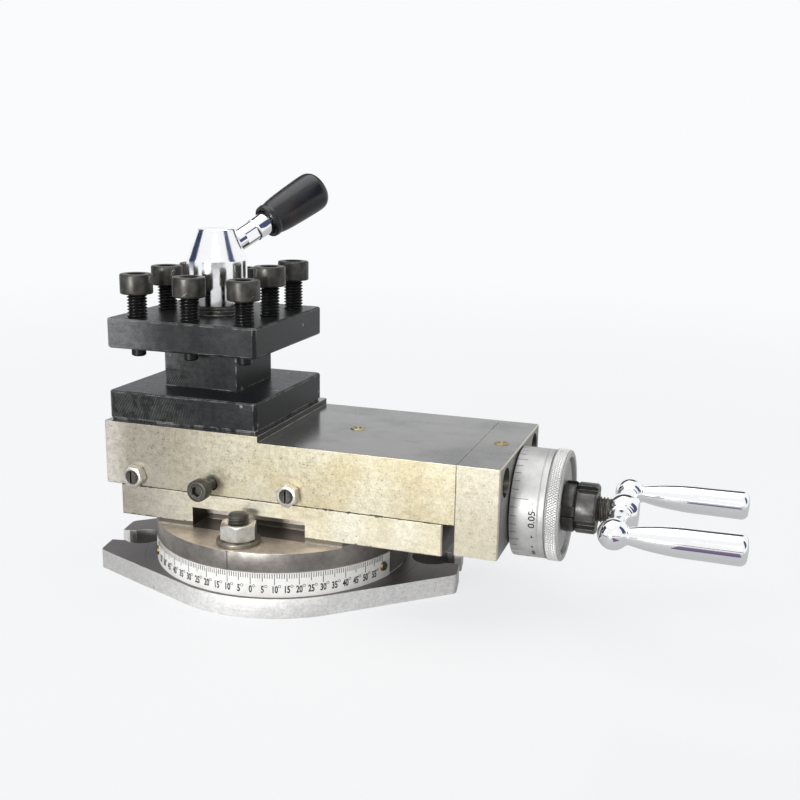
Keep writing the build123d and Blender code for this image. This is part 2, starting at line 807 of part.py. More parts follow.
def place_crank(piece):
    """Put a piece drawn round the hub's middle at the end of the leadscrew."""
    return Pos(crank_hub_x, 0, screw_axis_height) * Rot(crank_tilt, 0, 0) * piece


def make_handle(side):
    """A slim handle that swells from its root and ends in a rounded cap."""
    start = crank_ball_seat() + seat_gap
    belly = handle_belly_distance
    end = handle_end_distance
    tenon_start = crank_ball_radius - handle_tenon_length - crank_ball_set_back + seat_gap
    swell = Spline(
        (handle_root_radius, start),
        (handle_belly_radius * 0.86, start + (belly - start) * 0.5),
        (handle_belly_radius, belly),
        (handle_end_radius, end - handle_end_rounding),
    )
    cap = ThreePointArc(
        (handle_end_radius, end - handle_end_rounding),
        (handle_end_radius - handle_end_rounding * 0.3, end - handle_end_rounding * 0.3),
        (handle_end_radius - handle_end_rounding, end),
    )
    foot = Polyline(
        (handle_end_radius - handle_end_rounding, end),
        (0, end),
        (0, tenon_start),
        (handle_tenon_radius, tenon_start),
        (handle_tenon_radius, start),
        (handle_root_radius, start),
    )
    handle = revolve(Plane.XZ * make_face([swell, cap, foot]), Axis.Z)
    return place_crank(Pos(0, side * crank_throw, 0) * Rot(0, 90, 0) * handle)


# Four-way turret on its stud
def at_turret(piece):
    return Pos(turret_x, 0, 0) * piece


def square_plate(width, bottom, top):
    half = width / 2
    return block((-half, half), (-half, half), (bottom, top))


def make_turret():
    slot_floor = turret_bottom + turret_base_thickness
    slot_roof = slot_floor + tool_slot_height
    foot_top = turret_bottom + turret_foot_height
    lower = square_plate(turret_width, foot_top, slot_floor)
    upper = square_plate(turret_width, slot_roof, turret_top)
    lower = chamfer(lower.edges().filter_by(Axis.Z), turret_corner_chamfer)
    upper = chamfer(upper.edges().filter_by(Axis.Z), turret_corner_chamfer)
    lower = chamfer(lower.edges().group_by(Axis.Z)[-1], turret_edge_chamfer)
    upper = chamfer(upper.edges().group_by(Axis.Z)[-1], turret_edge_chamfer)
    upper = chamfer(upper.edges().group_by(Axis.Z)[0], turret_edge_chamfer)
    body = lower + upper + square_plate(turret_column_width, slot_floor, slot_roof)
    body += square_plate(turret_width - 2 * turret_foot_inset, turret_bottom, foot_top)
    body += rod(turret_boss_radius, turret_top, turret_top + turret_boss_height)
    body -= rod(stud_diameter / 2 + running_gap, turret_bottom - 1, turret_top + turret_boss_height + 1)
    for column, row in tool_screw_heights:
        place = Pos(column * tool_screw_offset, row * tool_screw_offset)
        body -= place * rod(tool_screw_diameter / 2 + running_gap, slot_roof - 1, turret_top + 1)
    return at_turret(body)


def make_turret_stud():
    """The post that the turret turns on, held in the slide by its head."""
    head_top = dovetail_roof + stud_head_height + dovetail_roof_gap
    radius = stud_diameter / 2
    tip = hub_bottom + stud_hub_engagement
    stud = turned([
        (0, head_top - stud_head_height),
        (stud_head_radius, head_top - stud_head_height),
        (stud_head_radius, head_top),
        (radius, head_top),
        (radius, tip - thread_end_chamfer),
        (radius - thread_end_chamfer, tip),
        (0, tip),
    ])
    return at_turret(stud)


def make_tool_screw(column, row, height):
    screw = socket_screw(
        tool_screw_diameter, tool_screw_length, tool_screw_head_radius, tool_screw_head_height,
        tool_screw_hex_flats, tool_screw_hex_depth, tool_screw_head_chamfer,
        (tool_screw_point_radius, tool_screw_point_length),
    )
    turn = tool_screw_turn_step * (3 * column + row)
    place = Pos(column * tool_screw_offset, row * tool_screw_offset, turret_top + height)
    return at_turret(place * Rot(0, 0, turn) * screw)


# Clamping lever: hub nut, slanted rod and knob
def along_lever(piece):
    """Lay a piece drawn along +Z on the lever's axis, which starts on the turret's axis."""
    root = Pos(0, 0, hub_bottom + lever_root_height)
    return at_turret(root * Rot(0, 0, lever_azimuth) * Rot(0, 90 - lever_elevation, 0) * piece)


def make_clamp_washer():
    bottom = turret_top + turret_boss_height
    washer = rod(turret_boss_radius, bottom, bottom + clamp_washer_thickness)
    return at_turret(washer - rod(stud_diameter / 2 + running_gap, bottom - 1, bottom + 3))


def make_lever_hub():
    shoulder = hub_bottom + lever_hub_cylinder_height
    top = shoulder + lever_hub_cone_height
    hub = turned([
        (0, hub_bottom),
        (lever_hub_radius - edge_break, hub_bottom),
        (lever_hub_radius, hub_bottom + edge_break),
        (lever_hub_radius, shoulder),
        (lever_hub_top_radius + edge_break / 2, top - edge_break),
        (lever_hub_top_radius - edge_break / 2, top),
        (0, top),
    ])
    hub -= rod(stud_diameter / 2 + running_gap, hub_bottom - 1, hub_bottom + stud_hub_engagement + edge_break)
    return at_turret(hub) - along_lever(rod(lever_rod_root_radius + seat_gap, lever_rod_start - seat_gap, knob_start))


def make_lever_rod():
    """A tapered rod with two spanner flats where it leaves the hub."""
    bar = turned([
        (0, lever_rod_start),
        (lever_rod_root_radius, lever_rod_start),
        (lever_rod_root_radius, lever_flats_start),
        (lever_rod_tip_radius, knob_start),
        (lever_rod_tip_radius, lever_rod_end),
        (0, lever_rod_end),
    ])
    half = lever_flats_width / 2
    reach = lever_rod_tip_radius + 1
    for y_range in ((half, reach), (-reach, -half)):
        bar -= block((-reach, reach), y_range, (lever_flats_start, lever_flats_end))
    return along_lever(bar)


def make_lever_knob():
    """A plastic barrel with a rounded lip, a slight waist and a flat dome."""
    end = knob_start + knob_length
    dome_start = end - knob_dome_length
    lip_end = knob_start + knob_lip_length
    bore = lever_rod_tip_radius + seat_gap
    lip_face_radius = (bore + knob_lip_radius) / 2
    lip = Spline(
        (lip_face_radius, knob_start),
        (knob_lip_radius, knob_start + knob_lip_length * 0.4),
        (knob_waist_radius, lip_end),
        tangents=((1, 0), (0, 1)),
    )
    side = Spline(
        (knob_waist_radius, lip_end),
        (knob_shoulder_radius, lip_end + (dome_start - lip_end) * knob_shoulder_part),
        (knob_belly_radius, dome_start),
        tangents=((0, 1), (0, 1)),
    )
    dome = Spline(
        (knob_belly_radius, dome_start),
        (knob_belly_radius * 0.8, end - knob_dome_length * 0.3),
        (0, end),
        tangents=((0, 1), (-1, 0)),
    )
    inside = Polyline(
        (0, end),
        (0, lever_rod_end + seat_gap),
        (bore, lever_rod_end + seat_gap),
        (bore, knob_start + knob_mouth_recess),
        (lip_face_radius, knob_start),
    )
    knob = revolve(Plane.XZ * make_face([lip, side, dome, inside]), Axis.Z)
    return along_lever(knob)


# Everything that stays with the base plate
save("base_plate", make_base_plate())
save("angle_scale", make_angle_scale())
save("scale_screws", *make_scale_screws())

# Everything that swivels
save_turned("swivel_base", make_swivel_base())
save_turned("feed_nut", make_feed_nut())
save_turned("swivel_bolts", *both_bolts(make_swivel_bolt()))
save_turned("swivel_washers", *both_bolts(make_swivel_washer()))
save_turned("swivel_nuts", *both_bolts(make_swivel_nut()))

# Everything that travels with the top slide
save_turned("top_slide", make_top_slide())
save_turned("gib", make_gib())
save_turned("gib_screws", *gib_places(make_gib_screw()))
save_turned("gib_nuts", *gib_places(make_gib_nut()))
save_turned("lock_screw", make_lock_screw())
save_turned("end_bracket", make_end_bracket())
save_turned("bracket_bush", make_bracket_bush())
save_turned("bracket_screws", *make_bracket_screws())
save_turned("slide_oiler", make_oiler(slide_oiler_x))
save_turned("bracket_oiler", make_oiler(bracket_right - bracket_oiler_inset))
save_turned("slide_oiler_ball", make_oiler_ball(slide_oiler_x))
save_turned("bracket_oiler_ball", make_oiler_ball(bracket_right - bracket_oiler_inset))
save_turned("turret_stud", make_turret_stud())

# Everything that the crank turns
save_turned("leadscrew", make_leadscrew())
save_turned("dial_sleeve", make_dial_sleeve())
save_turned("dial_spring", make_dial_spring())
save_turned("thin_jam_nut", make_jam_nut(flange_face, thin_nut_height, thin_nut_turn))
save_turned("full_jam_nut", make_jam_nut(full_nut_start, full_nut_height, full_nut_turn))
save_turned("ball_crank", make_ball_crank())
save_turned("front_handle", make_handle(-1))
save_turned("rear_handle", make_handle(1))
save_turned("dial", make_dial())

# The turret with its screws and the clamping lever
save_turned("turret", make_turret())
for number, (place, height) in enumerate(tool_screw_heights.items(), start=1):
    save_turned(f"tool_screw_{number}", make_tool_screw(*place, height))
save_turned("clamp_washer", make_clamp_washer())
save_turned("lever_hub", make_lever_hub())
save_turned("lever_rod", make_lever_rod())
save_turned("lever_knob", make_lever_knob())
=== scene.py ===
import json
import math

import bmesh
import bpy
from mathutils import Matrix, Vector


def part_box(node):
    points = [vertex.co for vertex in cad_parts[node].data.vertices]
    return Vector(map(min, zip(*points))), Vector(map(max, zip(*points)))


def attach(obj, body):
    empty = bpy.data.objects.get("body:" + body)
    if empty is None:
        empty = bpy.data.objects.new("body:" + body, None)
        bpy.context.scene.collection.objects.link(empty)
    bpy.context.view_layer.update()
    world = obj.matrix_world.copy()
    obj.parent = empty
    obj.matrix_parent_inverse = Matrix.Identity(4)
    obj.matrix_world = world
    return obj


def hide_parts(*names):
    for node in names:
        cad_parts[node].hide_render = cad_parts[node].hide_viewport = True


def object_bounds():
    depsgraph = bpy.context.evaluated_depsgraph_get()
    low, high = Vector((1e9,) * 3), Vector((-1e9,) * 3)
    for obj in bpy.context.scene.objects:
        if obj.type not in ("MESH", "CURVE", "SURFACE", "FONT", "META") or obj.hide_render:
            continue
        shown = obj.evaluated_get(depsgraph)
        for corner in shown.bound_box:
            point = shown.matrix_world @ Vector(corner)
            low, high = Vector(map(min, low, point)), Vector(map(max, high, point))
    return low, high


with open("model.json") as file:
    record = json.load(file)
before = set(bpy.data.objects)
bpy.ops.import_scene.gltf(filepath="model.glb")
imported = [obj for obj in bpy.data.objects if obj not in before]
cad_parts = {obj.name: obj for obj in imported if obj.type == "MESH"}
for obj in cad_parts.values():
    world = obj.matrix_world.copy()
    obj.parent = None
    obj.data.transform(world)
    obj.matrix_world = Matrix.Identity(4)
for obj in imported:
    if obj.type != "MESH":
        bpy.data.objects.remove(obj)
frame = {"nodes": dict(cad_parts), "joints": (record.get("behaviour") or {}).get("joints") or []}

cadLow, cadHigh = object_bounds()
mm = 0.001
nodes = frame["nodes"]
joints = {joint["name"]: joint for joint in frame["joints"]}
up = Vector((0, 0, 1))
slideAxis = Vector(joints["slide_travel"]["axis"]).normalized()
frontward = slideAxis.cross(up)        # square to the slide, towards the camera's side
turned = Matrix.Rotation(math.atan2(slideAxis.y, slideAxis.x), 4, "Z")
slideTurn = 10                         # degrees between the slide and the frame's own x
sharpAngle = 32                        # degrees from which an edge is shaded as a crease
frontAndRear = (("Front", 1), ("Rear", -1))
print("frame loaded:", len(nodes), "nodes")


# Places and lines, read from the frame
def axisLine(origin, along, side):
    # a matrix whose Z runs along one direction and whose X points to another
    z = Vector(along).normalized()
    x = (Vector(side) - Vector(side).dot(z) * z).normalized()
    matrix = Matrix((x, z.cross(x), z)).transposed().to_4x4()
    matrix.translation = origin
    return matrix


def middleOf(node):
    low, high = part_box(node)
    return (low + high) / 2


def heightsOf(box):
    # the lowest and highest point of a box in mm
    return [corner.z / mm for corner in box]


def spanAlong(node, line):
    # where a node starts and ends along a line's own Z, in mm
    away = line.inverted()
    heights = [(away @ vertex.co).z for vertex in nodes[node].data.vertices]
    return min(heights) / mm, max(heights) / mm


def uprightAt(node):
    # the upright axis through a node, starting at the node's lowest point
    middle = middleOf(node)
    return axisLine((middle.x, middle.y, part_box(node)[0].z), up, slideAxis)


screwLine = axisLine(Vector(joints["crank_turn"]["pos_m"]), slideAxis, frontward)
turretLine = axisLine(Vector((*joints["turret_turn"]["pos_m"][:2], 0)), up, slideAxis)


# Mesh making: everything turned, threaded or hexagonal is a stack of rings about its own Z
def linkPiece(piece):
    bpy.context.scene.collection.objects.link(piece)


def finishPiece(name, shape, place, body, material, replaced=()):
    mesh = bpy.data.meshes.new(name)
    bmesh.ops.recalc_face_normals(shape, faces=shape.faces)
    shape.to_mesh(mesh)
    shape.free()
    mesh.materials.append(material)
    for polygon in mesh.polygons:
        polygon.use_smooth = True
    mesh.set_sharp_from_angle(angle=math.radians(sharpAngle))
    piece = bpy.data.objects.new(name, mesh)
    linkPiece(piece)
    piece.matrix_world = place
    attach(piece, body)
    if replaced:
        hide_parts(*replaced)
    return piece


def stackRings(shape, rings, segments, hollow=False):
    # rings are (height, radius) pairs in mm; a radius may be a function of the angle
    loops = []
    for height, radius in rings:
        loop = []
        for step in range(segments):
            angle = 2 * math.pi * step / segments
            reach = radius(angle) if callable(radius) else radius
            spot = Vector((reach * math.cos(angle), reach * math.sin(angle), height))
            loop.append(shape.verts.new(spot * mm))
        loops.append(loop)
    pairs = list(zip(loops, loops[1:]))
    if hollow:
        pairs.append((loops[-1], loops[0]))
    for lower, upper in pairs:
        for step in range(segments):
            after = (step + 1) % segments
            shape.faces.new((lower[step], lower[after], upper[after], upper[step]))
    if not hollow:
        shape.faces.new(reversed(loops[0]))
        shape.faces.new(loops[-1])


def turnedPiece(name, rings, place, body, material, replaced=(), segments=72, hollow=False):
    shape = bmesh.new()
    stackRings(shape, rings, segments, hollow)
    return finishPiece(name, shape, place, body, material, replaced)


longestArc = 0.45                      # share of a side that a rounded corner may use up


def roundCorners(points, radius, steps=4):
    # round each inner corner of a (height, radius) outline with a small arc
    rounded = [points[0]]
    for before, corner, after in zip(points, points[1:], points[2:]):
        inward = Vector(before) - Vector(corner)
        onward = Vector(after) - Vector(corner)
        reach = min(radius, inward.length * longestArc, onward.length * longestArc)
        first = Vector(corner) + inward.normalized() * reach
        last = Vector(corner) + onward.normalized() * reach
        for step in range(steps + 1):
            share = step / steps
            a = first.lerp(Vector(corner), share)
            b = Vector(corner).lerp(last, share)
            rounded.append(tuple(a.lerp(b, share)))
    return rounded + [points[-1]]


def placedAt(height, radius, outline):
    # an outline of (height, radius) steps from a place
    return [(height + along, radius + out) for along, out in outline]


def smoothThrough(points, steps=10):
    # a smooth curve through a few (height, radius) points
    curve = []
    last = len(points) - 1
    for index in range(last):
        p0, p1 = Vector(points[max(index - 1, 0)]), Vector(points[index])
        p2, p3 = Vector(points[index + 1]), Vector(points[min(index + 2, last)])
        for step in range(steps):
            t = step / steps
            spot = 0.5 * (2 * p1 + (p2 - p0) * t + (2 * p0 - 5 * p1 + 4 * p2 - p3) * t ** 2
                          + (3 * p1 - p0 - 3 * p2 + p3) * t ** 3)
            curve.append(tuple(spot))
    return curve + [tuple(points[-1])]


def hexagon(flats):
    # distance from the axis to a hexagon's side; a corner lies at angle 0
    def radius(angle):
        return flats / 2 / math.cos(angle % (math.pi / 3) - math.pi / 6)
    return radius


def squareBar(width):
    def radius(angle):
        return width / 2 / max(abs(math.cos(angle)), abs(math.sin(angle)))
    return radius


threadShape = {"runOut": 0.5, "crest": 0.12, "flank": 0.72}      # shares of a pitch


def threadRings(start, end, major, pitch, depth, perTurn=9):
    # a right-hand thread as rings whose radius follows the helix; it runs out at both ends
    count = max(2, round((end - start) / pitch * perTurn))
    rings = []
    for index in range(count + 1):
        height = start + (end - start) * index / count
        runOut = min(1, min(height - start, end - height) / pitch / threadShape["runOut"])

        def radius(angle, height=height, runOut=runOut):
            phase = (height / pitch - angle / (2 * math.pi)) % 1
            flank = min(1, max(0, (abs(2 * phase - 1) - threadShape["crest"]) / threadShape["flank"]))
            return major - depth * flank * runOut
        rings.append((height, radius))
    return rings


nutShape = {"face": 0.48, "angle": 30, "steps": 5}               # the end's radius for flats of 1


def chamferedHex(flats, height):
    # outside of a nut from its lower to its upper face, both ends turned to a cone
    side = hexagon(flats)
    corner, face = flats / math.sqrt(3), flats * nutShape["face"]
    slope = math.tan(math.radians(nutShape["angle"]))
    rings = []
    for index in range(nutShape["steps"] + 1):
        widened = (corner - face) * index / nutShape["steps"]
        rings.append((widened * slope, lambda angle, cone=face + widened: min(side(angle), cone)))
    return rings + [(height - low, radius) for low, radius in reversed(rings)]


# Node trees
def addNode(tree, kind, inputs=None, **settings):
    node = tree.nodes.new(kind)
    for key, value in settings.items():
        setattr(node, key, value)
    for key, value in (inputs or {}).items():
        if isinstance(value, bpy.types.NodeSocket):
            tree.links.new(value, node.inputs[key])
        else:
            node.inputs[key].default_value = value
    return node


def calc(tree, operation, first, second=0.0, third=0.0):
    return addNode(tree, "ShaderNodeMath", {0: first, 1: second, 2: third}, operation=operation).outputs[0]


def times(tree, first, second):
    return calc(tree, "MULTIPLY", first, second)


def minus(tree, first, second):
    return calc(tree, "SUBTRACT", first, second)


def above(tree, value, limit):
    return calc(tree, "GREATER_THAN", value, limit)


def below(tree, value, limit):
    return calc(tree, "LESS_THAN", value, limit)


def sizeOf(tree, value):
    return calc(tree, "ABSOLUTE", value)


def awayFrom(tree, first, second):
    # distance in a plane, from its two coordinates
    squares = [calc(tree, "POWER", part, 2.0) for part in (first, second)]
    return calc(tree, "SQRT", calc(tree, "ADD", *squares))


def measure(tree, operation, first, second=(0, 0, 0)):
    # one number from one or two vectors
    return addNode(tree, "ShaderNodeVectorMath", {0: first, 1: second}, operation=operation).outputs["Value"]


def stretch(tree, vector, amounts):
    return addNode(tree, "ShaderNodeVectorMath", {0: vector, 1: amounts}, operation="MULTIPLY").outputs[0]


def ramp(tree, value, low, high, start=0.0, end=1.0):
    return addNode(tree, "ShaderNodeMapRange", {
        "Value": value, "From Min": low, "From Max": high, "To Min": start, "To Max": end,
    }, interpolation_type="SMOOTHSTEP").outputs[0]


def mixColour(tree, share, first, second, blend="MIX"):
    return addNode(tree, "ShaderNodeMix", {0: share, 6: first, 7: second},
                   data_type="RGBA", blend_type=blend).outputs[2]


def paint(tree, colour, mask, coat):
    # a coat is a colour and how far it covers what lies under it
    tint, share = coat
    if share < 1:
        mask = times(tree, mask, share)
    return mixColour(tree, mask, colour, tint)


def noiseOf(tree, vector, scale, detail=3.0, roughness=0.55):
    return addNode(tree, "ShaderNodeTexNoise", {
        "Vector": vector, "Scale": scale, "Detail": detail, "Roughness": roughness,
    }).outputs["Fac"]


def splitAxes(tree, vector):
    return addNode(tree, "ShaderNodeSeparateXYZ", {0: vector}).outputs


def pieceVector(tree):
    return addNode(tree, "ShaderNodeTexCoord").outputs["Object"]


def slideVector(tree):
    # the piece's own coordinates, squared up with the slide
    squaring = {"Vector": pieceVector(tree), "Rotation": (0, 0, math.radians(slideTurn))}
    return addNode(tree, "ShaderNodeMapping", squaring).outputs[0]


def facing(tree, axis, limits, start=0.0, end=1.0):
    # how far a face looks along one of the piece's own axes
    normal = addNode(tree, "ShaderNodeTexCoord").outputs["Normal"]
    return ramp(tree, splitAxes(tree, normal)[axis], *limits, start, end)


# Shared effects: node groups, each placed in the materials with their own values
def newGroup(name, inputs, outputs):
    # an input without a value is a vector; each output is a number
    group = bpy.data.node_groups.new(name, "ShaderNodeTree")
    for label, value in inputs.items():
        kind = "NodeSocketVector" if value is None else "NodeSocketFloat"
        socket = group.interface.new_socket(name=label, in_out="INPUT", socket_type=kind)
        if value is not None:
            socket.default_value = value
    for label in outputs:
        group.interface.new_socket(name=label, in_out="OUTPUT", socket_type="NodeSocketFloat")
    return group, group.nodes.new("NodeGroupInput").outputs, group.nodes.new("NodeGroupOutput").inputs


def placeGroup(tree, group, inputs):
    return addNode(tree, "ShaderNodeGroup", inputs, node_tree=group).outputs


wearShape = {"samples": 6, "edge": (0.995, 0.90), "patchDetail": 4.0, "patches": (0.40, 0.62)}


def makeEdgeWear():
    # bright where an edge has been rubbed: the rounded normal leaves the true one
    inputs = {"Vector": None, "Width": 0.0006, "Patches": 120.0, "Amount": 1.0}
    group, given, result = newGroup("edgeWear", inputs, ["Mask"])
    rounded = addNode(group, "ShaderNodeBevel", {"Radius": given["Width"]}, samples=wearShape["samples"])
    flat = addNode(group, "ShaderNodeNewGeometry").outputs["Normal"]
    edge = ramp(group, measure(group, "DOT_PRODUCT", rounded.outputs[0], flat), *wearShape["edge"])
    patches = noiseOf(group, given["Vector"], given["Patches"], wearShape["patchDetail"])
    patches = ramp(group, patches, *wearShape["patches"])
    group.links.new(times(group, times(group, edge, patches), given["Amount"]), result["Mask"])
    return group


grainShape = {
    "lineStretch": (0.05, 1.0, 1.0), "lineDetail": 2.0, "grainNoise": (3.0, 0.65), "coarseScale": 0.3,
    "coarseNoise": (3.0, 0.6), "coarseShare": 0.4, "grainShare": 0.6, "patchNoise": (5.0, 0.62),
    "tone": (0.34, 0.66), "speckScale": 0.45, "speckNoise": (1.0, 0.4), "specks": (0.72, 0.80),
    "speckPlaces": (70.0, 2.0), "speckWhere": (0.42, 0.60),
}


def makeGrain():
    # fine grain with a share of long grinding marks, slow patches of tone and a few stray specks
    inputs = {"Vector": None, "Fineness": 900.0, "Patch Size": 40.0, "Lines": 0.15}
    group, given, result = newGroup("groundGrain", inputs, ["Height", "Tone", "Specks"])
    look, where, fineness = grainShape, given["Vector"], given["Fineness"]
    lines = noiseOf(group, stretch(group, where, look["lineStretch"]), fineness, look["lineDetail"])
    grain = noiseOf(group, where, fineness, *look["grainNoise"])
    coarse = noiseOf(group, where, times(group, fineness, look["coarseScale"]), *look["coarseNoise"])
    plain = calc(group, "MULTIPLY_ADD", coarse, look["coarseShare"], times(group, grain, look["grainShare"]))
    rest = times(group, plain, minus(group, 1.0, given["Lines"]))
    group.links.new(calc(group, "MULTIPLY_ADD", lines, given["Lines"], rest), result["Height"])
    patch = noiseOf(group, where, given["Patch Size"], *look["patchNoise"])
    group.links.new(ramp(group, patch, *look["tone"]), result["Tone"])
    stray = noiseOf(group, where, times(group, fineness, look["speckScale"]), *look["speckNoise"])
    places = ramp(group, noiseOf(group, where, *look["speckPlaces"]), *look["speckWhere"])
    group.links.new(times(group, ramp(group, stray, *look["specks"]), places), result["Specks"])
    return group


pitSpot = (0.34, 0.12)                 # a spot's rim and middle, as shares of its cell


def makePits():
    # scattered small spots, each in a cell of its own
    group, given, result = newGroup("darkPits", {"Vector": None, "Size": 450.0, "Share": 0.2}, ["Mask"])
    cells = addNode(group, "ShaderNodeTexVoronoi", {"Vector": given["Vector"], "Scale": given["Size"]})
    chance = addNode(group, "ShaderNodeSeparateColor", {0: cells.outputs["Color"]}).outputs[0]
    spot = ramp(group, cells.outputs["Distance"], *pitSpot)
    group.links.new(times(group, below(group, chance, given["Share"]), spot), result["Mask"])
    return group


arcShape = {
    "wobbleNoise": (60.0, 2.0), "wobble": 1.2 * mm, "cut": (0.1, 0.9), "placeNoise": (55.0, 4.0, 0.6),
    "places": (0.48, 0.66), "placeShare": 0.25, "breakNoise": (420.0, 2.0), "breaks": (0.30, 0.62),
    "near": (82.0 * mm, 52.0 * mm),
}


def makeMillingArcs():
    # sweeping arcs left by a face mill, round a centre below and beside the face
    inputs = {"Vector": None, "Pitch": 0.0009, "Centre": None}
    group, given, result = newGroup("millingArcs", inputs, ["Mask"])
    look, where = arcShape, given["Vector"]
    away = measure(group, "DISTANCE", where, given["Centre"])
    wobble = times(group, noiseOf(group, where, *look["wobbleNoise"]), look["wobble"])
    turns = calc(group, "DIVIDE", calc(group, "ADD", away, wobble), given["Pitch"])
    wave = calc(group, "SINE", times(group, turns, 2 * math.pi))
    places = ramp(group, noiseOf(group, where, *look["placeNoise"]), *look["places"])
    near = ramp(group, away, *look["near"])
    places = calc(group, "MAXIMUM", times(group, places, look["placeShare"]), near)
    broken = ramp(group, noiseOf(group, where, *look["breakNoise"]), *look["breaks"])
    cut = times(group, ramp(group, wave, *look["cut"]), places)
    group.links.new(times(group, cut, broken), result["Mask"])
    return group


scratchShape = {
    "stretch": (1.0, 1.0, 2.4), "noise": (1.0, 0.3), "line": (1.0, 0.2), "placeScale": 0.9,
    "placeDetail": 2.0, "places": (0.56, 0.68),
}


def makeScratches():
    # thin wandering hairlines, only in some places
    inputs = {"Vector": None, "Scale": 60.0, "Thinness": 0.006}
    group, given, result = newGroup("hairScratches", inputs, ["Mask"])
    look, where = scratchShape, given["Vector"]
    wander = noiseOf(group, stretch(group, where, look["stretch"]), given["Scale"], *look["noise"])
    away = calc(group, "DIVIDE", sizeOf(group, minus(group, wander, 0.5)), given["Thinness"])
    line = ramp(group, away, *look["line"])
    scale = times(group, given["Scale"], look["placeScale"])
    places = ramp(group, noiseOf(group, where, scale, look["placeDetail"]), *look["places"])
    group.links.new(times(group, line, places), result["Mask"])
    return group


edgeWear = makeEdgeWear()
groundGrain = makeGrain()
millingArcs = makeMillingArcs()
darkPits = makePits()
hairScratches = makeScratches()


# Materials
def newMaterial(name):
    material = bpy.data.materials.new(name)
    material.use_nodes = True
    tree = material.node_tree
    return material, tree, tree.nodes["Principled BSDF"]


def rubbedEdges(tree, where, look):
    sizes = {"Vector": where, "Width": look["edgeWidth"], "Patches": look["edgePatches"]}
    return placeGroup(tree, edgeWear, sizes)["Mask"]


def surfaceMarks(tree, where, look):
    # grain and rubbed edges at a look's own sizes
    sizes = {"Vector": where, "Fineness": look["fineness"], "Patch Size": look["patchSize"],
             "Lines": look["lines"]}
    return placeGroup(tree, groundGrain, sizes), rubbedEdges(tree, where, look)


grainSpan = {"shade": (0.40, 0.60), "rough": (0.3, 0.7)}         # the part of the grain's height that shows


def shade(tree, colour, height, limits):
    # a fine light and dark grain laid over a colour
    fine = ramp(tree, height, *grainSpan["shade"], *limits)
    grey = addNode(tree, "ShaderNodeCombineColor", {0: fine, 1: fine, 2: fine}).outputs[0]
    return mixColour(tree, 1.0, colour, grey, "MULTIPLY")


def grainRough(tree, look, height, level=None):
    # the grain sways the roughness about its level
    sway = ramp(tree, height, *grainSpan["rough"], *look["sway"])
    return calc(tree, "ADD", sway, look["rough"] if level is None else level)


def finishLook(tree, shader, look, colour, rough, height):
    strength, distance = look["bump"]
    bump = addNode(tree, "ShaderNodeBump", {"Height": height, "Strength": strength, "Distance": distance})
    tree.links.new(colour, shader.inputs["Base Color"])
    tree.links.new(rough, shader.inputs["Roughness"])
    tree.links.new(bump.outputs[0], shader.inputs["Normal"])
    shader.inputs["Metallic"].default_value = look["metal"]


nicks = {"noise": (330.0, 3.0, 0.7), "places": (0.50, 0.75), "depth": 0.45 * mm, "blur": 0.06 * mm}


def nickedLine(tree, where, height, level, side):
    # true within a thin line along a level, wider where the edge has been nicked
    depth = ramp(tree, noiseOf(tree, where, *nicks["noise"]), *nicks["places"], 0.0, nicks["depth"])
    reach = times(tree, minus(tree, height, level), side)
    return ramp(tree, minus(tree, reach, depth), nicks["blur"], -nicks["blur"])


groundLook = {
    "warm": (0.61, 0.535, 0.345, 1), "pale": (0.70, 0.655, 0.50, 1), "top": (0.26, 0.26, 0.25, 1),
    "cloud": (0.20, 0.20, 0.195, 1), "end": (0.27, 0.265, 0.25, 1), "padEndShade": (0.055, 0.055, 0.052, 1),
    "stain": ((0.44, 0.365, 0.215, 1), 0.45), "darkerLeft": ((0.43, 0.40, 0.355, 1), 0.75),
    "farEndHighlight": ((0.84, 0.80, 0.76, 1), 0.8), "bracket": ((0.60, 0.565, 0.47, 1), 0.6),
    "speck": ((0.10, 0.085, 0.065, 1), 0.2), "rubbed": ((0.80, 0.775, 0.70, 1), 0.55),
    "recessShade": ((0.035, 0.03, 0.028, 1), 0.95), "line": ((0.06, 0.05, 0.035, 1), 0.85),
    "stainNoise": (26.0, 6.0, 0.68), "stainWhere": (0.50, 0.70), "cloudStretch": (0.7, 1.0, 1.0),
    "cloudNoise": (30.0, 6.0, 0.66), "cloudWhere": (0.40, 0.66), "facing": (0.75, 0.95),
    "shade": (0.88, 1.05), "darkerLeftSpan": (0.0, -45.0 * mm), "highlightSpan": (-51.0 * mm, -62.0 * mm),
    "notchFrom": 75.0 * mm, "slideEnd": 83.3 * mm, "lineHeight": 40.28 * mm, "boreSide": 26.0 * mm,
    "bore": (5.75 * mm, 5.6 * mm),
    "fineness": 1500.0, "patchSize": 34.0, "lines": 0.12, "edgeWidth": 0.5 * mm, "edgePatches": 90.0,
    "metal": 0.70, "rough": 0.31, "topRough": 0.16, "cloudRough": 0.23, "sway": (-0.05, 0.08),
    "bump": (0.22, 0.04 * mm),
}


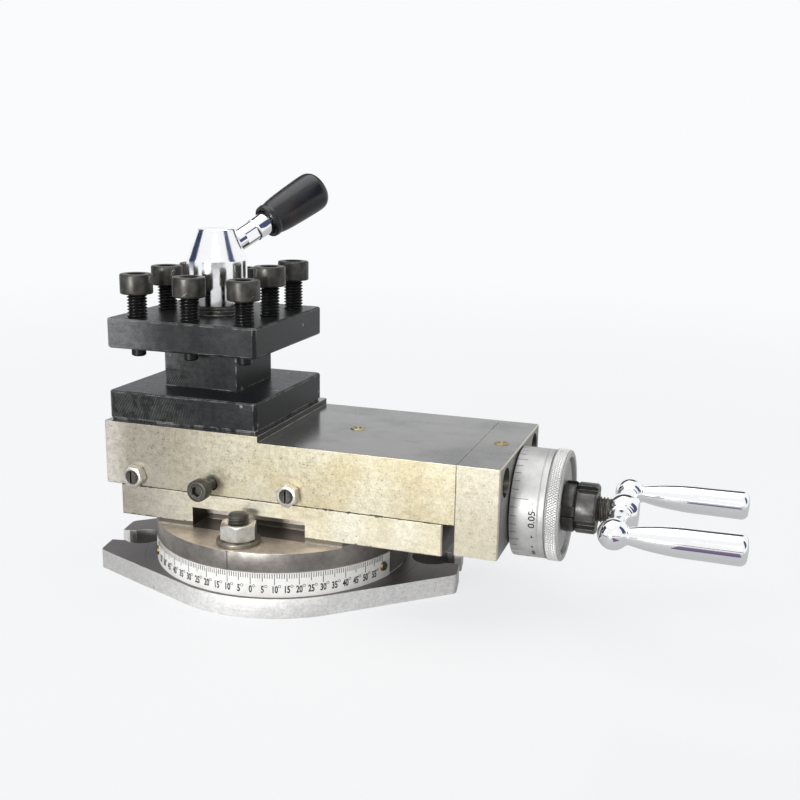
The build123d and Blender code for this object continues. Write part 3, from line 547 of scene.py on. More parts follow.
def makeGroundIron():
    # slide and bracket: ground iron, warm and pale on its sides and greyer on top
    look = groundLook
    material, tree, shader = newMaterial("groundIron")
    where = slideVector(tree)
    x, y, z = splitAxes(tree, where)
    marks, worn = surfaceMarks(tree, where, look)
    onBracket = above(tree, x, look["slideEnd"])
    pastNotch = above(tree, x, look["notchFrom"])
    onTop = facing(tree, 2, look["facing"])
    colour = mixColour(tree, marks["Tone"], look["warm"], look["pale"])
    stain = ramp(tree, noiseOf(tree, where, *look["stainNoise"]), *look["stainWhere"])
    colour = paint(tree, colour, stain, look["stain"])
    # painted light along the sides: a painted shade darker towards the left, then a paler painted highlight
    # at the far left end
    beforeHighlight = ramp(tree, x, *reversed(look["highlightSpan"]))
    darkerLeft = times(tree, ramp(tree, x, *look["darkerLeftSpan"]), beforeHighlight)
    colour = paint(tree, colour, darkerLeft, look["darkerLeft"])
    colour = paint(tree, colour, ramp(tree, x, *look["highlightSpan"]), look["farEndHighlight"])
    colour = paint(tree, colour, onBracket, look["bracket"])
    cloud = noiseOf(tree, stretch(tree, where, look["cloudStretch"]), *look["cloudNoise"])
    cloud = ramp(tree, cloud, *look["cloudWhere"])
    colour = mixColour(tree, onTop, colour, mixColour(tree, cloud, look["top"], look["cloud"]))
    # painted shade on right-facing faces: darker grey on the bracket, near black before the notch
    end = mixColour(tree, pastNotch, look["padEndShade"], look["end"])
    colour = mixColour(tree, facing(tree, 0, look["facing"]), colour, end)
    colour = shade(tree, colour, marks["Height"], look["shade"])
    colour = paint(tree, colour, marks["Specks"], look["speck"])
    colour = paint(tree, colour, worn, look["rubbed"])
    # painted shade inside the bracket's counterbores and where the bracket meets the slide
    across = minus(tree, sizeOf(tree, y), look["boreSide"])
    rise = minus(tree, z, middleOf("bracket_screws").z)
    bore = times(tree, ramp(tree, awayFrom(tree, across, rise), *look["bore"]), onBracket)
    notch = times(tree, facing(tree, 0, [-limit for limit in look["facing"]]), pastNotch)
    colour = paint(tree, colour, calc(tree, "MAXIMUM", bore, notch), look["recessShade"])
    line = nickedLine(tree, where, z, look["lineHeight"], 1.0)
    colour = paint(tree, colour, times(tree, line, below(tree, x, look["slideEnd"])), look["line"])
    topRough = ramp(tree, cloud, 0.0, 1.0, look["topRough"], look["cloudRough"])
    rough = grainRough(tree, look, marks["Height"], ramp(tree, onTop, 0.0, 1.0, look["rough"], topRough))
    finishLook(tree, shader, look, colour, rough, marks["Height"])
    return material


swivelLook = {
    "warm": (0.62, 0.56, 0.40, 1), "pale": (0.72, 0.685, 0.56, 1), "cast": (0.62, 0.56, 0.50, 1),
    "rim": (0.17, 0.16, 0.15, 1), "top": (0.88, 0.77, 0.64, 1), "floor": (0.15, 0.135, 0.12, 1),
    "end": ((0.035, 0.03, 0.028, 1), 1.0), "darkerLeft": ((0.30, 0.27, 0.24, 1), 0.8),
    "speck": ((0.10, 0.08, 0.06, 1), 0.5), "rubbed": ((0.82, 0.80, 0.72, 1), 0.6),
    "line": ((0.06, 0.05, 0.035, 1), 0.85), "rimTone": 0.3, "topTone": 0.4, "shade": (0.86, 1.06),
    "facing": (0.75, 0.95), "facingUp": (0.7, 0.95), "darkerLeftSpan": (-5.0 * mm, -55.0 * mm),
    "faceDepth": 34.9 * mm, "diskTop": 26.2 * mm, "lineHeight": 39.85 * mm, "footHeight": 27.75 * mm,
    "fineness": 1300.0, "patchSize": 42.0, "lines": 0.15, "edgeWidth": 0.6 * mm, "edgePatches": 130.0,
    "metal": 0.66, "rough": 0.38, "sway": (-0.05, 0.1), "bump": (0.3, 0.05 * mm),
}


def makeSwivelIron():
    # ground outer faces, raw casting in the arches, painted shade on the disk's top under the block, brownish
    # machined disk
    look = swivelLook
    material, tree, shader = newMaterial("swivelIron")
    where = slideVector(tree)
    x, y, z = splitAxes(tree, where)
    marks, worn = surfaceMarks(tree, where, look)
    depth = sizeOf(tree, y)
    onBlock = above(tree, z, look["diskTop"])
    rim = mixColour(tree, times(tree, marks["Tone"], look["rimTone"]), look["rim"], look["cast"])
    top = mixColour(tree, times(tree, marks["Tone"], look["topTone"]), look["top"], look["rim"])
    # painted shade: the disk's top under the block, behind the front faces, is darkened
    top = mixColour(tree, below(tree, depth, look["faceDepth"]), top, look["floor"])
    disk = mixColour(tree, facing(tree, 2, look["facingUp"]), rim, top)
    face = mixColour(tree, marks["Tone"], look["warm"], look["pale"])
    # painted shade: the front faces darker towards the left
    face = paint(tree, face, ramp(tree, x, *look["darkerLeftSpan"]), look["darkerLeft"])
    block = mixColour(tree, above(tree, depth, look["faceDepth"]), look["cast"], face)
    # painted shade on the block's right-facing faces
    block = paint(tree, block, facing(tree, 0, look["facing"]), look["end"])
    colour = shade(tree, mixColour(tree, onBlock, disk, block), marks["Height"], look["shade"])
    colour = paint(tree, colour, marks["Specks"], look["speck"])
    colour = paint(tree, colour, worn, look["rubbed"])
    foot = nickedLine(tree, where, z, look["footHeight"], 1.0)
    head = nickedLine(tree, where, z, look["lineHeight"], -1.0)
    line = times(tree, calc(tree, "MAXIMUM", head, foot), onBlock)
    colour = paint(tree, colour, line, look["line"])
    finishLook(tree, shader, look, colour, grainRough(tree, look, marks["Height"]), marks["Height"])
    return material


baseLook = {
    "edge": (0.80, 0.795, 0.785, 1), "edgeDark": (0.72, 0.715, 0.71, 1), "top": (0.125, 0.115, 0.118, 1),
    "topPale": (0.19, 0.175, 0.17, 1), "castAndShadedWall": (0.13, 0.12, 0.115, 1),
    "darkerLeft": ((0.46, 0.455, 0.45, 1), 0.85), "ring": ((0.07, 0.06, 0.055, 1), 0.5),
    "speck": ((0.07, 0.06, 0.055, 1), 0.4), "rubbed": ((0.80, 0.795, 0.785, 1), 0.7),
    "shade": (0.86, 1.08), "facing": (0.6, 0.9),
    "darkerLeftSpan": (-10.0 * mm, -60.0 * mm), "ringRadius": 58.2 * mm, "ringWidth": (0.4 * mm, 0.1 * mm),
    "plateTop": 8.3 * mm, "slotHalf": 9.0 * mm, "slotEnd": 72.0 * mm,
    "fineness": 1300.0, "patchSize": 14.0, "lines": 0.3, "edgeWidth": 0.7 * mm, "edgePatches": 110.0,
    "metal": 0.4, "rough": 0.40, "edgeRough": 0.54, "sway": (-0.04, 0.08), "bump": (0.35, 0.05 * mm),
}


def makeBaseIron():
    # base plate: dark top with a faint turned ring, light machined edge, walls inside the end slots and above
    # the plate's top dark: as-cast with painted shade
    look = baseLook
    material, tree, shader = newMaterial("baseIron")
    where = pieceVector(tree)
    x, y, z = splitAxes(tree, where)
    marks, worn = surfaceMarks(tree, where, look)
    edge = mixColour(tree, marks["Tone"], look["edge"], look["edgeDark"])
    # the edge darker towards the left
    edge = paint(tree, edge, ramp(tree, x, *look["darkerLeftSpan"]), look["darkerLeft"])
    # as-cast and painted shade: dark walls inside the end slots and above the plate's top
    across = below(tree, sizeOf(tree, y), look["slotHalf"])
    along = below(tree, sizeOf(tree, x), look["slotEnd"])
    edge = mixColour(tree, times(tree, across, along), edge, look["castAndShadedWall"])
    edge = mixColour(tree, above(tree, z, look["plateTop"]), edge, look["castAndShadedWall"])
    top = mixColour(tree, marks["Tone"], look["top"], look["topPale"])
    off = sizeOf(tree, minus(tree, awayFrom(tree, x, y), look["ringRadius"]))
    top = paint(tree, top, ramp(tree, off, *look["ringWidth"]), look["ring"])
    colour = mixColour(tree, facing(tree, 2, look["facing"]), edge, top)
    colour = shade(tree, colour, marks["Height"], look["shade"])
    colour = paint(tree, colour, marks["Specks"], look["speck"])
    colour = paint(tree, colour, worn, look["rubbed"])
    level = facing(tree, 2, look["facing"], look["edgeRough"], look["rough"])
    finishLook(tree, shader, look, colour, grainRough(tree, look, marks["Height"], level), marks["Height"])
    return material


turretLook = {
    "black": (0.011, 0.012, 0.013, 1), "worn": (0.023, 0.024, 0.025, 1), "top": (0.020, 0.020, 0.021, 1),
    "lowTop": (0.015, 0.017, 0.024, 1), "right": ((0.018, 0.018, 0.020, 1), 1.0),
    "paintedSheen": ((0.17, 0.175, 0.18, 1), 0.75), "pale": ((0.42, 0.42, 0.40, 1), 1.0),
    "wornShare": 0.9, "dotShare": 0.6, "arcShare": 0.25, "shade": (0.75, 1.2), "facing": (0.7, 0.95),
    "sheenSpan": (-32.0 * mm, -60.0 * mm), "lowTopUnder": 85.0 * mm,
    "arcs": {"Pitch": 0.7 * mm, "Centre": (-0.095, -0.032, 0.060)}, "dots": {"Size": 300.0, "Share": 0.03},
    "fineness": 1200.0, "patchSize": 60.0, "lines": 0.2, "edgeWidth": 0.9 * mm, "edgePatches": 220.0,
    "metal": 0.55, "rough": 0.34, "sway": (-0.05, 0.1), "bump": (0.3, 0.04 * mm),
}


def makeTurretBlack():
    # black oxide on milled steel: pale rubbed edges, arcs of a face mill, a few bright specks
    look = turretLook
    material, tree, shader = newMaterial("turretBlack")
    where = slideVector(tree)
    axes = splitAxes(tree, where)
    x, z = axes[0], axes[2]
    marks, worn = surfaceMarks(tree, where, look)
    arcs = placeGroup(tree, millingArcs, {"Vector": where, **look["arcs"]})["Mask"]
    dots = placeGroup(tree, darkPits, {"Vector": where, **look["dots"]})["Mask"]
    onTop = facing(tree, 2, look["facing"])
    colour = mixColour(tree, marks["Tone"], look["black"], look["worn"])
    # painted sheen: the upper sides paler towards the left
    rubbed = times(tree, ramp(tree, x, *look["sheenSpan"]), above(tree, z, look["lowTopUnder"]))
    colour = paint(tree, colour, rubbed, look["paintedSheen"])
    top = mixColour(tree, below(tree, z, look["lowTopUnder"]), look["top"], look["lowTop"])
    colour = mixColour(tree, onTop, colour, top)
    colour = paint(tree, colour, facing(tree, 0, look["facing"]), look["right"])
    colour = shade(tree, colour, marks["Height"], look["shade"])
    pale = calc(tree, "MAXIMUM", times(tree, worn, look["wornShare"]), times(tree, dots, look["dotShare"]))
    arcs = times(tree, times(tree, arcs, minus(tree, 1.0, onTop)), look["arcShare"])
    colour = paint(tree, colour, calc(tree, "MAXIMUM", pale, arcs), look["pale"])
    finishLook(tree, shader, look, colour, grainRough(tree, look, marks["Height"]), marks["Height"])
    return material


# Small turned parts share these values unless their own look says otherwise
steelCommon = {
    "fineness": 1500.0, "patchSize": 180.0, "lines": 0.15, "edgeWidth": 0.4 * mm, "edgePatches": 260.0,
    "scratches": {"Scale": 130.0, "Thinness": 0.012}, "scratchShare": 0.6, "shadedCoreBlur": 0.25 * mm,
    "sway": (-0.05, 0.08), "bump": (0.3, 0.03 * mm),
}
steelLooks = {
    "blackOxide": {"dark": (0.045, 0.042, 0.034, 1), "light": (0.105, 0.099, 0.084, 1),
                   "rubbed": ((0.45, 0.44, 0.41, 1), 0.55), "metal": 0.6, "rough": 0.42},
    "screwBlack": {"dark": (0.032, 0.031, 0.027, 1), "light": (0.088, 0.085, 0.075, 1),
                   "rubbed": ((0.56, 0.55, 0.51, 1), 0.95), "metal": 0.6, "rough": 0.38,
                   "shadedCore": ((0.012, 0.012, 0.012, 1), 1.0), "shadedCoreRadius": 4.15 * mm},
    "nutBlack": {"dark": (0.060, 0.059, 0.055, 1), "light": (0.100, 0.098, 0.093, 1),
                 "rubbed": ((0.50, 0.49, 0.46, 1), 0.7), "metal": 0.7, "rough": 0.36},
    "zincPlate": {"dark": (0.58, 0.555, 0.50, 1), "light": (0.80, 0.78, 0.72, 1),
                  "rubbed": ((0.92, 0.91, 0.87, 1), 0.5), "metal": 0.85, "rough": 0.30,
                  "fineness": 1400.0, "bump": (0.2, 0.03 * mm)},
    "dullZinc": {"dark": (0.20, 0.185, 0.15, 1), "light": (0.38, 0.355, 0.295, 1),
                 "rubbed": ((0.85, 0.83, 0.76, 1), 0.5), "metal": 0.85, "rough": 0.34,
                 "fineness": 1400.0, "bump": (0.2, 0.03 * mm)},
    "dullBrass": {"dark": (0.26, 0.20, 0.085, 1), "light": (0.46, 0.37, 0.17, 1),
                  "rubbed": ((0.70, 0.62, 0.38, 1), 0.5), "metal": 0.9, "rough": 0.32,
                  "bump": (0.25, 0.03 * mm)},
    "darkBrass": {"dark": (0.09, 0.07, 0.035, 1), "light": (0.24, 0.19, 0.09, 1),
                  "rubbed": ((0.60, 0.52, 0.30, 1), 0.5), "metal": 0.85, "rough": 0.40,
                  "bump": (0.25, 0.03 * mm)},
    "turnedSteel": {"dark": (0.42, 0.41, 0.40, 1), "light": (0.62, 0.61, 0.60, 1),
                    "rubbed": ((0.80, 0.79, 0.77, 1), 0.4), "metal": 0.95, "rough": 0.30, "fineness": 1600.0},
    "satinChrome": {"dark": (0.50, 0.50, 0.49, 1), "light": (0.58, 0.58, 0.565, 1),
                    "rubbed": ((0.85, 0.85, 0.85, 1), 0.4), "metal": 0.55, "rough": 0.50,
                    "fineness": 2200.0, "bump": (0.25, 0.03 * mm)},
}


def makeWornSteel(name, look):
    # one colour with grain, wear on the edges and a few scratches
    material, tree, shader = newMaterial(name)
    where = pieceVector(tree)
    marks, worn = surfaceMarks(tree, where, look)
    scratch = placeGroup(tree, hairScratches, {"Vector": where, **look["scratches"]})["Mask"]
    colour = mixColour(tree, marks["Tone"], look["dark"], look["light"])
    pale = calc(tree, "MAXIMUM", worn, times(tree, scratch, look["scratchShare"]))
    colour = paint(tree, colour, pale, look["rubbed"])
    # painted shade inside the socket and on the thread, within a radius of the axis
    if "shadedCore" in look:
        away = awayFrom(tree, *splitAxes(tree, where)[:2])
        within = ramp(tree, away, look["shadedCoreRadius"], look["shadedCoreRadius"] - look["shadedCoreBlur"])
        colour = paint(tree, colour, within, look["shadedCore"])
    finishLook(tree, shader, look, colour, grainRough(tree, look, marks["Height"]), marks["Height"])
    return material


chromeLook = {"darker": (0.93, 0.935, 0.945, 1), "lighter": (0.98, 0.98, 0.98, 1), "ripple": (120.0, 2.0),
              "haze": (420.0, 3.0), "hazeWhere": (0.35, 0.75), "metal": 1.0, "bump": (0.12, 0.2 * mm)}


def makeChrome(name, smooth, hazy):
    # mirror plating with the faintest ripple
    look = chromeLook
    material, tree, shader = newMaterial(name)
    where = pieceVector(tree)
    ripple = noiseOf(tree, where, *look["ripple"])
    rough = ramp(tree, noiseOf(tree, where, *look["haze"]), *look["hazeWhere"], smooth, hazy)
    finishLook(tree, shader, look, mixColour(tree, ripple, look["darker"], look["lighter"]), rough, ripple)
    return material


knobLook = {
    "black": (0.006, 0.006, 0.009, 1), "stain": ((0.026, 0.012, 0.009, 1), 1.0),
    "scratch": ((0.12, 0.12, 0.13, 1), 0.25), "stainNoise": (60.0, 3.0), "stainWhere": (0.52, 0.68),
    "haze": (160.0, 4.0), "hazeWhere": (0.35, 0.7), "rough": (0.26, 0.36), "coat": 0.06, "coatRough": 0.15,
    "scratches": {"Scale": 90.0, "Thinness": 0.006}, "metal": 0.0, "bump": (0.1, 0.2 * mm),
}


def makeKnobPlastic():
    # glossy black moulding with light handling marks
    look = knobLook
    material, tree, shader = newMaterial("blackPlastic")
    where = pieceVector(tree)
    haze = noiseOf(tree, where, *look["haze"])
    stain = ramp(tree, noiseOf(tree, where, *look["stainNoise"]), *look["stainWhere"])
    scratch = placeGroup(tree, hairScratches, {"Vector": where, **look["scratches"]})["Mask"]
    colour = paint(tree, paint(tree, look["black"], stain, look["stain"]), scratch, look["scratch"])
    shader.inputs["Coat Weight"].default_value = look["coat"]
    shader.inputs["Coat Roughness"].default_value = look["coatRough"]
    finishLook(tree, shader, look, colour, ramp(tree, haze, *look["hazeWhere"], *look["rough"]), haze)
    return material


stripLook = {
    "white": (0.83, 0.825, 0.805, 1), "yellowed": (0.72, 0.71, 0.67, 1),
    "rubbed": ((0.42, 0.38, 0.28, 1), 0.5),
    "stainNoise": (90.0, 4.0), "stainWhere": (0.4, 0.75), "roughWhere": (0.3, 0.7), "rough": (0.32, 0.46),
    "edgeWidth": 0.4 * mm, "edgePatches": 200.0, "metal": 0.0, "bump": (0.1, 0.2 * mm),
}


def makeStripPaint():
    # white strip, a little yellowed and rubbed at its edges
    look = stripLook
    material, tree, shader = newMaterial("stripWhite")
    where = pieceVector(tree)
    stain = noiseOf(tree, where, *look["stainNoise"])
    colour = mixColour(tree, ramp(tree, stain, *look["stainWhere"]), look["white"], look["yellowed"])
    colour = paint(tree, colour, rubbedEdges(tree, where, look), look["rubbed"])
    finishLook(tree, shader, look, colour, ramp(tree, stain, *look["roughWhere"], *look["rough"]), stain)
    return material


inkLook = {"dark": (0.015, 0.015, 0.018, 1), "faded": (0.07, 0.07, 0.07, 1), "noise": (500.0, 3.0),
           "fadedWhere": (0.45, 0.8), "rough": 0.55}


def makeInk():
    look = inkLook
    material, tree, shader = newMaterial("markInk")
    faded = ramp(tree, noiseOf(tree, pieceVector(tree), *look["noise"]), *look["fadedWhere"])
    tree.links.new(mixColour(tree, faded, look["dark"], look["faded"]), shader.inputs["Base Color"])
    shader.inputs["Roughness"].default_value = look["rough"]
    return material


groundIron = makeGroundIron()
swivelIron = makeSwivelIron()
baseIron = makeBaseIron()
turretBlack = makeTurretBlack()
smallSteel = {name: makeWornSteel(name, {**steelCommon, **look}) for name, look in steelLooks.items()}
mirrorChrome = makeChrome("mirrorChrome", 0.04, 0.10)
hubChrome = makeChrome("hubChrome", 0.12, 0.19)
blackPlastic = makeKnobPlastic()
stripWhite = makeStripPaint()
markInk = makeInk()
print("materials made")


# Castings and other pieces that keep their CAD shape
dressing = {"weld": 0.005 * mm, "flatAngle": 0.4, "bevelSegments": 2, "bevelAngle": 40}


def dressNode(node, material, edge):
    piece = nodes[node]
    piece.data.materials.clear()
    piece.data.materials.append(material)
    if not edge:
        return
    weld = piece.modifiers.new("weld", "WELD")
    weld.merge_threshold = dressing["weld"]
    joined = piece.modifiers.new("joinFlats", "DECIMATE")
    joined.decimate_type = "DISSOLVE"
    joined.angle_limit = math.radians(dressing["flatAngle"])
    bevel = piece.modifiers.new("softEdge", "BEVEL")
    bevel.width = edge * mm
    bevel.segments = dressing["bevelSegments"]
    bevel.limit_method = "ANGLE"
    bevel.angle_limit = math.radians(dressing["bevelAngle"])
    bevel.harden_normals = True


# each node's material and the width of its soft edges in mm
keptNodes = {
    "base_plate": (baseIron, 0.35), "swivel_base": (swivelIron, 0.25), "top_slide": (groundIron, 0.25),
    "end_bracket": (groundIron, 0.3), "turret": (turretBlack, 0.2), "angle_scale": (stripWhite, 0.0),
    "gib": (smallSteel["turnedSteel"], 0.0), "gib_screws": (smallSteel["blackOxide"], 0.0),
    "turret_stud": (smallSteel["blackOxide"], 0.0), "clamp_washer": (smallSteel["blackOxide"], 0.15),
    "feed_nut": (smallSteel["dullBrass"], 0.2), "bracket_bush": (smallSteel["dullBrass"], 0.0),
    "slide_oiler": (smallSteel["dullBrass"], 0.0), "bracket_oiler": (smallSteel["dullBrass"], 0.0),
    "slide_oiler_ball": (smallSteel["turnedSteel"], 0.0),
    "bracket_oiler_ball": (smallSteel["turnedSteel"], 0.0),
    "dial_sleeve": (smallSteel["satinChrome"], 0.2), "dial_spring": (smallSteel["turnedSteel"], 0.0),
    "scale_screws": (smallSteel["darkBrass"], 0.0),
    "thin_jam_nut": (smallSteel["nutBlack"], 0.22), "full_jam_nut": (smallSteel["nutBlack"], 0.22),
}
for node, (material, edge) in keptNodes.items():
    dressNode(node, material, edge)
print("castings dressed")


# Socket head screws: threaded shank, head and hexagon socket
screwShape = {"depth": 0.61, "lead": 0.4, "leadDepth": 0.3, "pointTaper": 0.6, "pointLead": 0.5,
              "belowThread": 0.3, "clear": 0.04, "rim": 0.35, "chamfer": 0.3, "rounding": 0.7,
              "socketDepth": 0.5, "segments": 48}


def socketScrewRings(screw, length):
    # a dog point is given as its (radius, length)
    look, shank, head, pitch = screwShape, screw["shank"], screw["head"], screw["pitch"]
    depth = pitch * look["depth"]
    threadStart = pitch * look["lead"]
    rings = [(0, shank - depth), (threadStart, shank - depth * look["leadDepth"])]
    if "point" in screw:
        radius, reach = screw["point"]
        rings = [(0, radius - look["pointTaper"]), (look["pointLead"], radius), (reach, radius)]
        threadStart = reach + look["belowThread"]
    rings += threadRings(threadStart, length, shank, pitch, depth)
    seat, top = length + look["clear"], length + screw["headHeight"]
    socket, corner = hexagon(screw["socket"]), screw["socket"] / math.sqrt(3)
    rings += roundCorners([(seat, shank), (seat, head), (top, head), (top, corner + look["rim"]),
                           (top - look["chamfer"], corner)], look["rounding"])[1:]
    floor = length + screw["headHeight"] * look["socketDepth"]
    return rings + [(top - look["chamfer"], socket), (floor, socket)]


toolScrews = {"count": 8, "shank": 4.0, "headHeight": 8.0, "socket": 6.0, "pitch": 1.25, "point": (2.9, 3.2),
              "spin": 41}


def makeToolScrews():
    for number in range(1, toolScrews["count"] + 1):
        node = f"tool_screw_{number}"
        low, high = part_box(node)
        screw = {**toolScrews, "head": (high.x - low.x) / 2 / mm}
        rings = socketScrewRings(screw, (high.z - low.z) / mm - screw["headHeight"])
        spin = Matrix.Rotation(math.radians(toolScrews["spin"] * number), 4, "Z")
        turnedPiece(f"toolScrew{number}", rings, uprightAt(node) @ spin, node, smallSteel["screwBlack"],
                    [node], screwShape["segments"])


lockScrew = {"shank": 2.5, "head": 4.25, "headHeight": 5.0, "socket": 4.0, "pitch": 0.8}
bracketScrews = {"shank": 3.0, "head": 5.0, "headHeight": 6.0, "length": 20.0, "socket": 5.0, "pitch": 1.0,
                 "side": 26.0}


def makeOtherSocketScrews():
    line = axisLine(middleOf("lock_screw"), frontward, up)
    start, end = spanAlong("lock_screw", line)
    rings = socketScrewRings(lockScrew, end - start - lockScrew["headHeight"])
    turnedPiece("lockScrew", rings, line @ Matrix.Translation((0, 0, start * mm)), "lock_screw",
                smallSteel["blackOxide"], ["lock_screw"], screwShape["segments"])
    middle = middleOf("bracket_screws")
    start, end = spanAlong("bracket_screws", axisLine(middle, slideAxis, up))
    rings = socketScrewRings(bracketScrews, bracketScrews["length"])
    for name, side in frontAndRear:
        spot = middle + (frontward * side * bracketScrews["side"] + slideAxis * start) * mm
        turnedPiece(f"bracketScrew{name}", rings, axisLine(spot, slideAxis, up), "slide",
                    smallSteel["blackOxide"], ["bracket_screws"], screwShape["segments"])


makeToolScrews()
makeOtherSocketScrews()
print("socket screws made")


# Swivel clamping: square-headed bolts, washers and nuts in front and behind
swivelClamp = {"reach": 43.0, "head": 12.6, "headHeight": 5.5, "shank": 4.0, "pitch": 1.25, "depth": 0.7,
               "smooth": 14.0, "point": [(-0.9, -0.1), (-0.15, -0.55), (0, -1.0)], "tipRound": 0.3,
               "flats": 13.0, "nutTurn": 20.0, "nutBore": 4.05, "nutMouth": 5.1, "nutSink": 0.9,
               "washer": 8.6, "washerBore": 4.1, "washerRound": 0.35}


def makeSwivelClamps():
    look, shank = swivelClamp, swivelClamp["shank"]
    bottom, tip = heightsOf(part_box("swivel_bolts"))
    washerLow, washerHigh = heightsOf(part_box("swivel_washers"))
    nutLow, nutHigh = heightsOf(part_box("swivel_nuts"))
    square = squareBar(look["head"])
    point = placedAt(tip, shank, look["point"])
    headTop = bottom + look["headHeight"]
    threadStart, threadEnd = headTop + look["smooth"], point[0][0]
    bolt = [(bottom, square), (headTop, square), (headTop, shank), (threadStart, shank)]
    bolt += threadRings(threadStart, threadEnd, shank, look["pitch"], look["depth"])[1:]
    bolt += roundCorners(point, look["tipRound"])[1:]
    outer, inner = look["washer"], look["washerBore"]
    washer = roundCorners([(washerLow, inner), (washerLow, outer), (washerHigh, outer), (washerHigh, inner)],
                          look["washerRound"])
    nut = [(nutLow, look["nutBore"])]
    nut += [(nutLow + height, radius) for height, radius in chamferedHex(look["flats"], nutHigh - nutLow)]
    nut += [(nutHigh, look["nutMouth"]), (nutHigh - look["nutSink"], look["nutBore"])]
    toCorner = Matrix.Rotation(math.radians(-90 + look["nutTurn"]), 4, "Z")
    for name, side in frontAndRear:
        line = axisLine(frontward * side * look["reach"] * mm, up, slideAxis)
        turnedPiece(f"swivelBolt{name}", bolt, line, "swivel", smallSteel["blackOxide"],
                    ["swivel_bolts"])
        turnedPiece(f"swivelWasher{name}", washer, line, "swivel", smallSteel["dullZinc"],
                    ["swivel_washers"], hollow=True)
        turnedPiece(f"swivelNut{name}", nut, line @ toCorner, "swivel", smallSteel["zincPlate"],
                    ["swivel_nuts"], hollow=True)


gibNuts = {"flats": 8.0, "bore": 2.55, "mouth": 0.4, "side": 33.5, "turns": {"Left": 22.0, "Right": 8.0}}


def makeGibNuts():
    middle = middleOf("gib_nuts")
    start, end = spanAlong("gib_nuts", axisLine(middle, frontward, up))
    rings = [(start, gibNuts["bore"])]
    rings += [(start + height, radius) for height, radius in chamferedHex(gibNuts["flats"], end - start)]
    rings += [(end, gibNuts["bore"] + gibNuts["mouth"]), (end - gibNuts["mouth"], gibNuts["bore"])]
    for name, side in (("Left", -1), ("Right", 1)):
        line = axisLine(middle + slideAxis * side * gibNuts["side"] * mm, frontward, up)
        spin = Matrix.Rotation(math.radians(gibNuts["turns"][name]), 4, "Z")
        turnedPiece(f"gibNut{name}", rings, line @ spin, "slide", smallSteel["zincPlate"],
                    ["gib_nuts"], hollow=True)


makeSwivelClamps()
makeGibNuts()
print("nuts and bolts made")


# Leadscrew with its two threads
leadscrew = {"radius": 5.0, "tipTaper": 1.0, "tipRadius": 3.8, "startDepth": 0.2, "feedPitch": 2.0,
             "feedDepth": 1.1, "feedSteps": 8, "nutPitch": 1.25, "nutDepth": 0.75, "collar": 8.0,
             "collarWidth": 3.6, "clear": 0.05, "relief": 4, "showing": 22.0, "segments": 48}


def makeLeadscrew():
    look, radius = leadscrew, leadscrew["radius"]
    start, end = spanAlong("leadscrew", screwLine)
    collar = spanAlong("end_bracket", screwLine)[0] + look["clear"]
    collarEnd, nutStart = collar + look["collarWidth"], end - look["showing"]
    feedStart = start + look["tipTaper"]
    rings = [(start, look["tipRadius"]), (feedStart, radius - look["startDepth"])]
    rings += threadRings(feedStart, collar - look["relief"], radius, look["feedPitch"], look["feedDepth"],
                         look["feedSteps"])
    rings += [(collar, radius), (collar, look["collar"]), (collarEnd, look["collar"]), (collarEnd, radius),
              (nutStart, radius)]
    rings += threadRings(nutStart, end, radius, look["nutPitch"], look["nutDepth"])[1:]
    turnedPiece("leadscrewThreaded", rings, screwLine, "crank", smallSteel["blackOxide"],
                ["leadscrew"], look["segments"])


makeLeadscrew()
print("leadscrew made")


# Ball crank: one bar turned about its own length, its arms set back and its hub ended in a flat
crank = {"throw": 26.7, "hub": 7.3, "ball": 5.75, "neck": 3.3, "root": 4.2, "bead": 4.7, "beadWidth": 1.3,
         "beadFoot": [(0.6, -0.4)], "beadRounding": 0.5, "armStart": [(0.9, -0.5)], "armEnd": [(-1.3, -0.5)],
         "armSteps": 6, "ballFoot": [(-1.2, -0.4), (-1.0, 0.1), (0, 0)], "footRounding": 0.3,
         "hubSteps": 26, "ballSteps": 24, "ballEnd": 0.001, "setBack": 0.7, "flat": 5.4, "tilt": 1.0,
         "segments": 72}


def ballArc(middle, radius, start, end, steps):
    # an arc of a ball's outline from one height to another, about the ball's middle
    first = math.acos(max(-1, min(1, (start - middle) / radius)))
    last = math.acos(max(-1, min(1, (end - middle) / radius)))
    angles = [first + (last - first) * step / steps for step in range(steps + 1)]
    return [(middle + radius * math.cos(angle), radius * math.sin(angle)) for angle in angles]


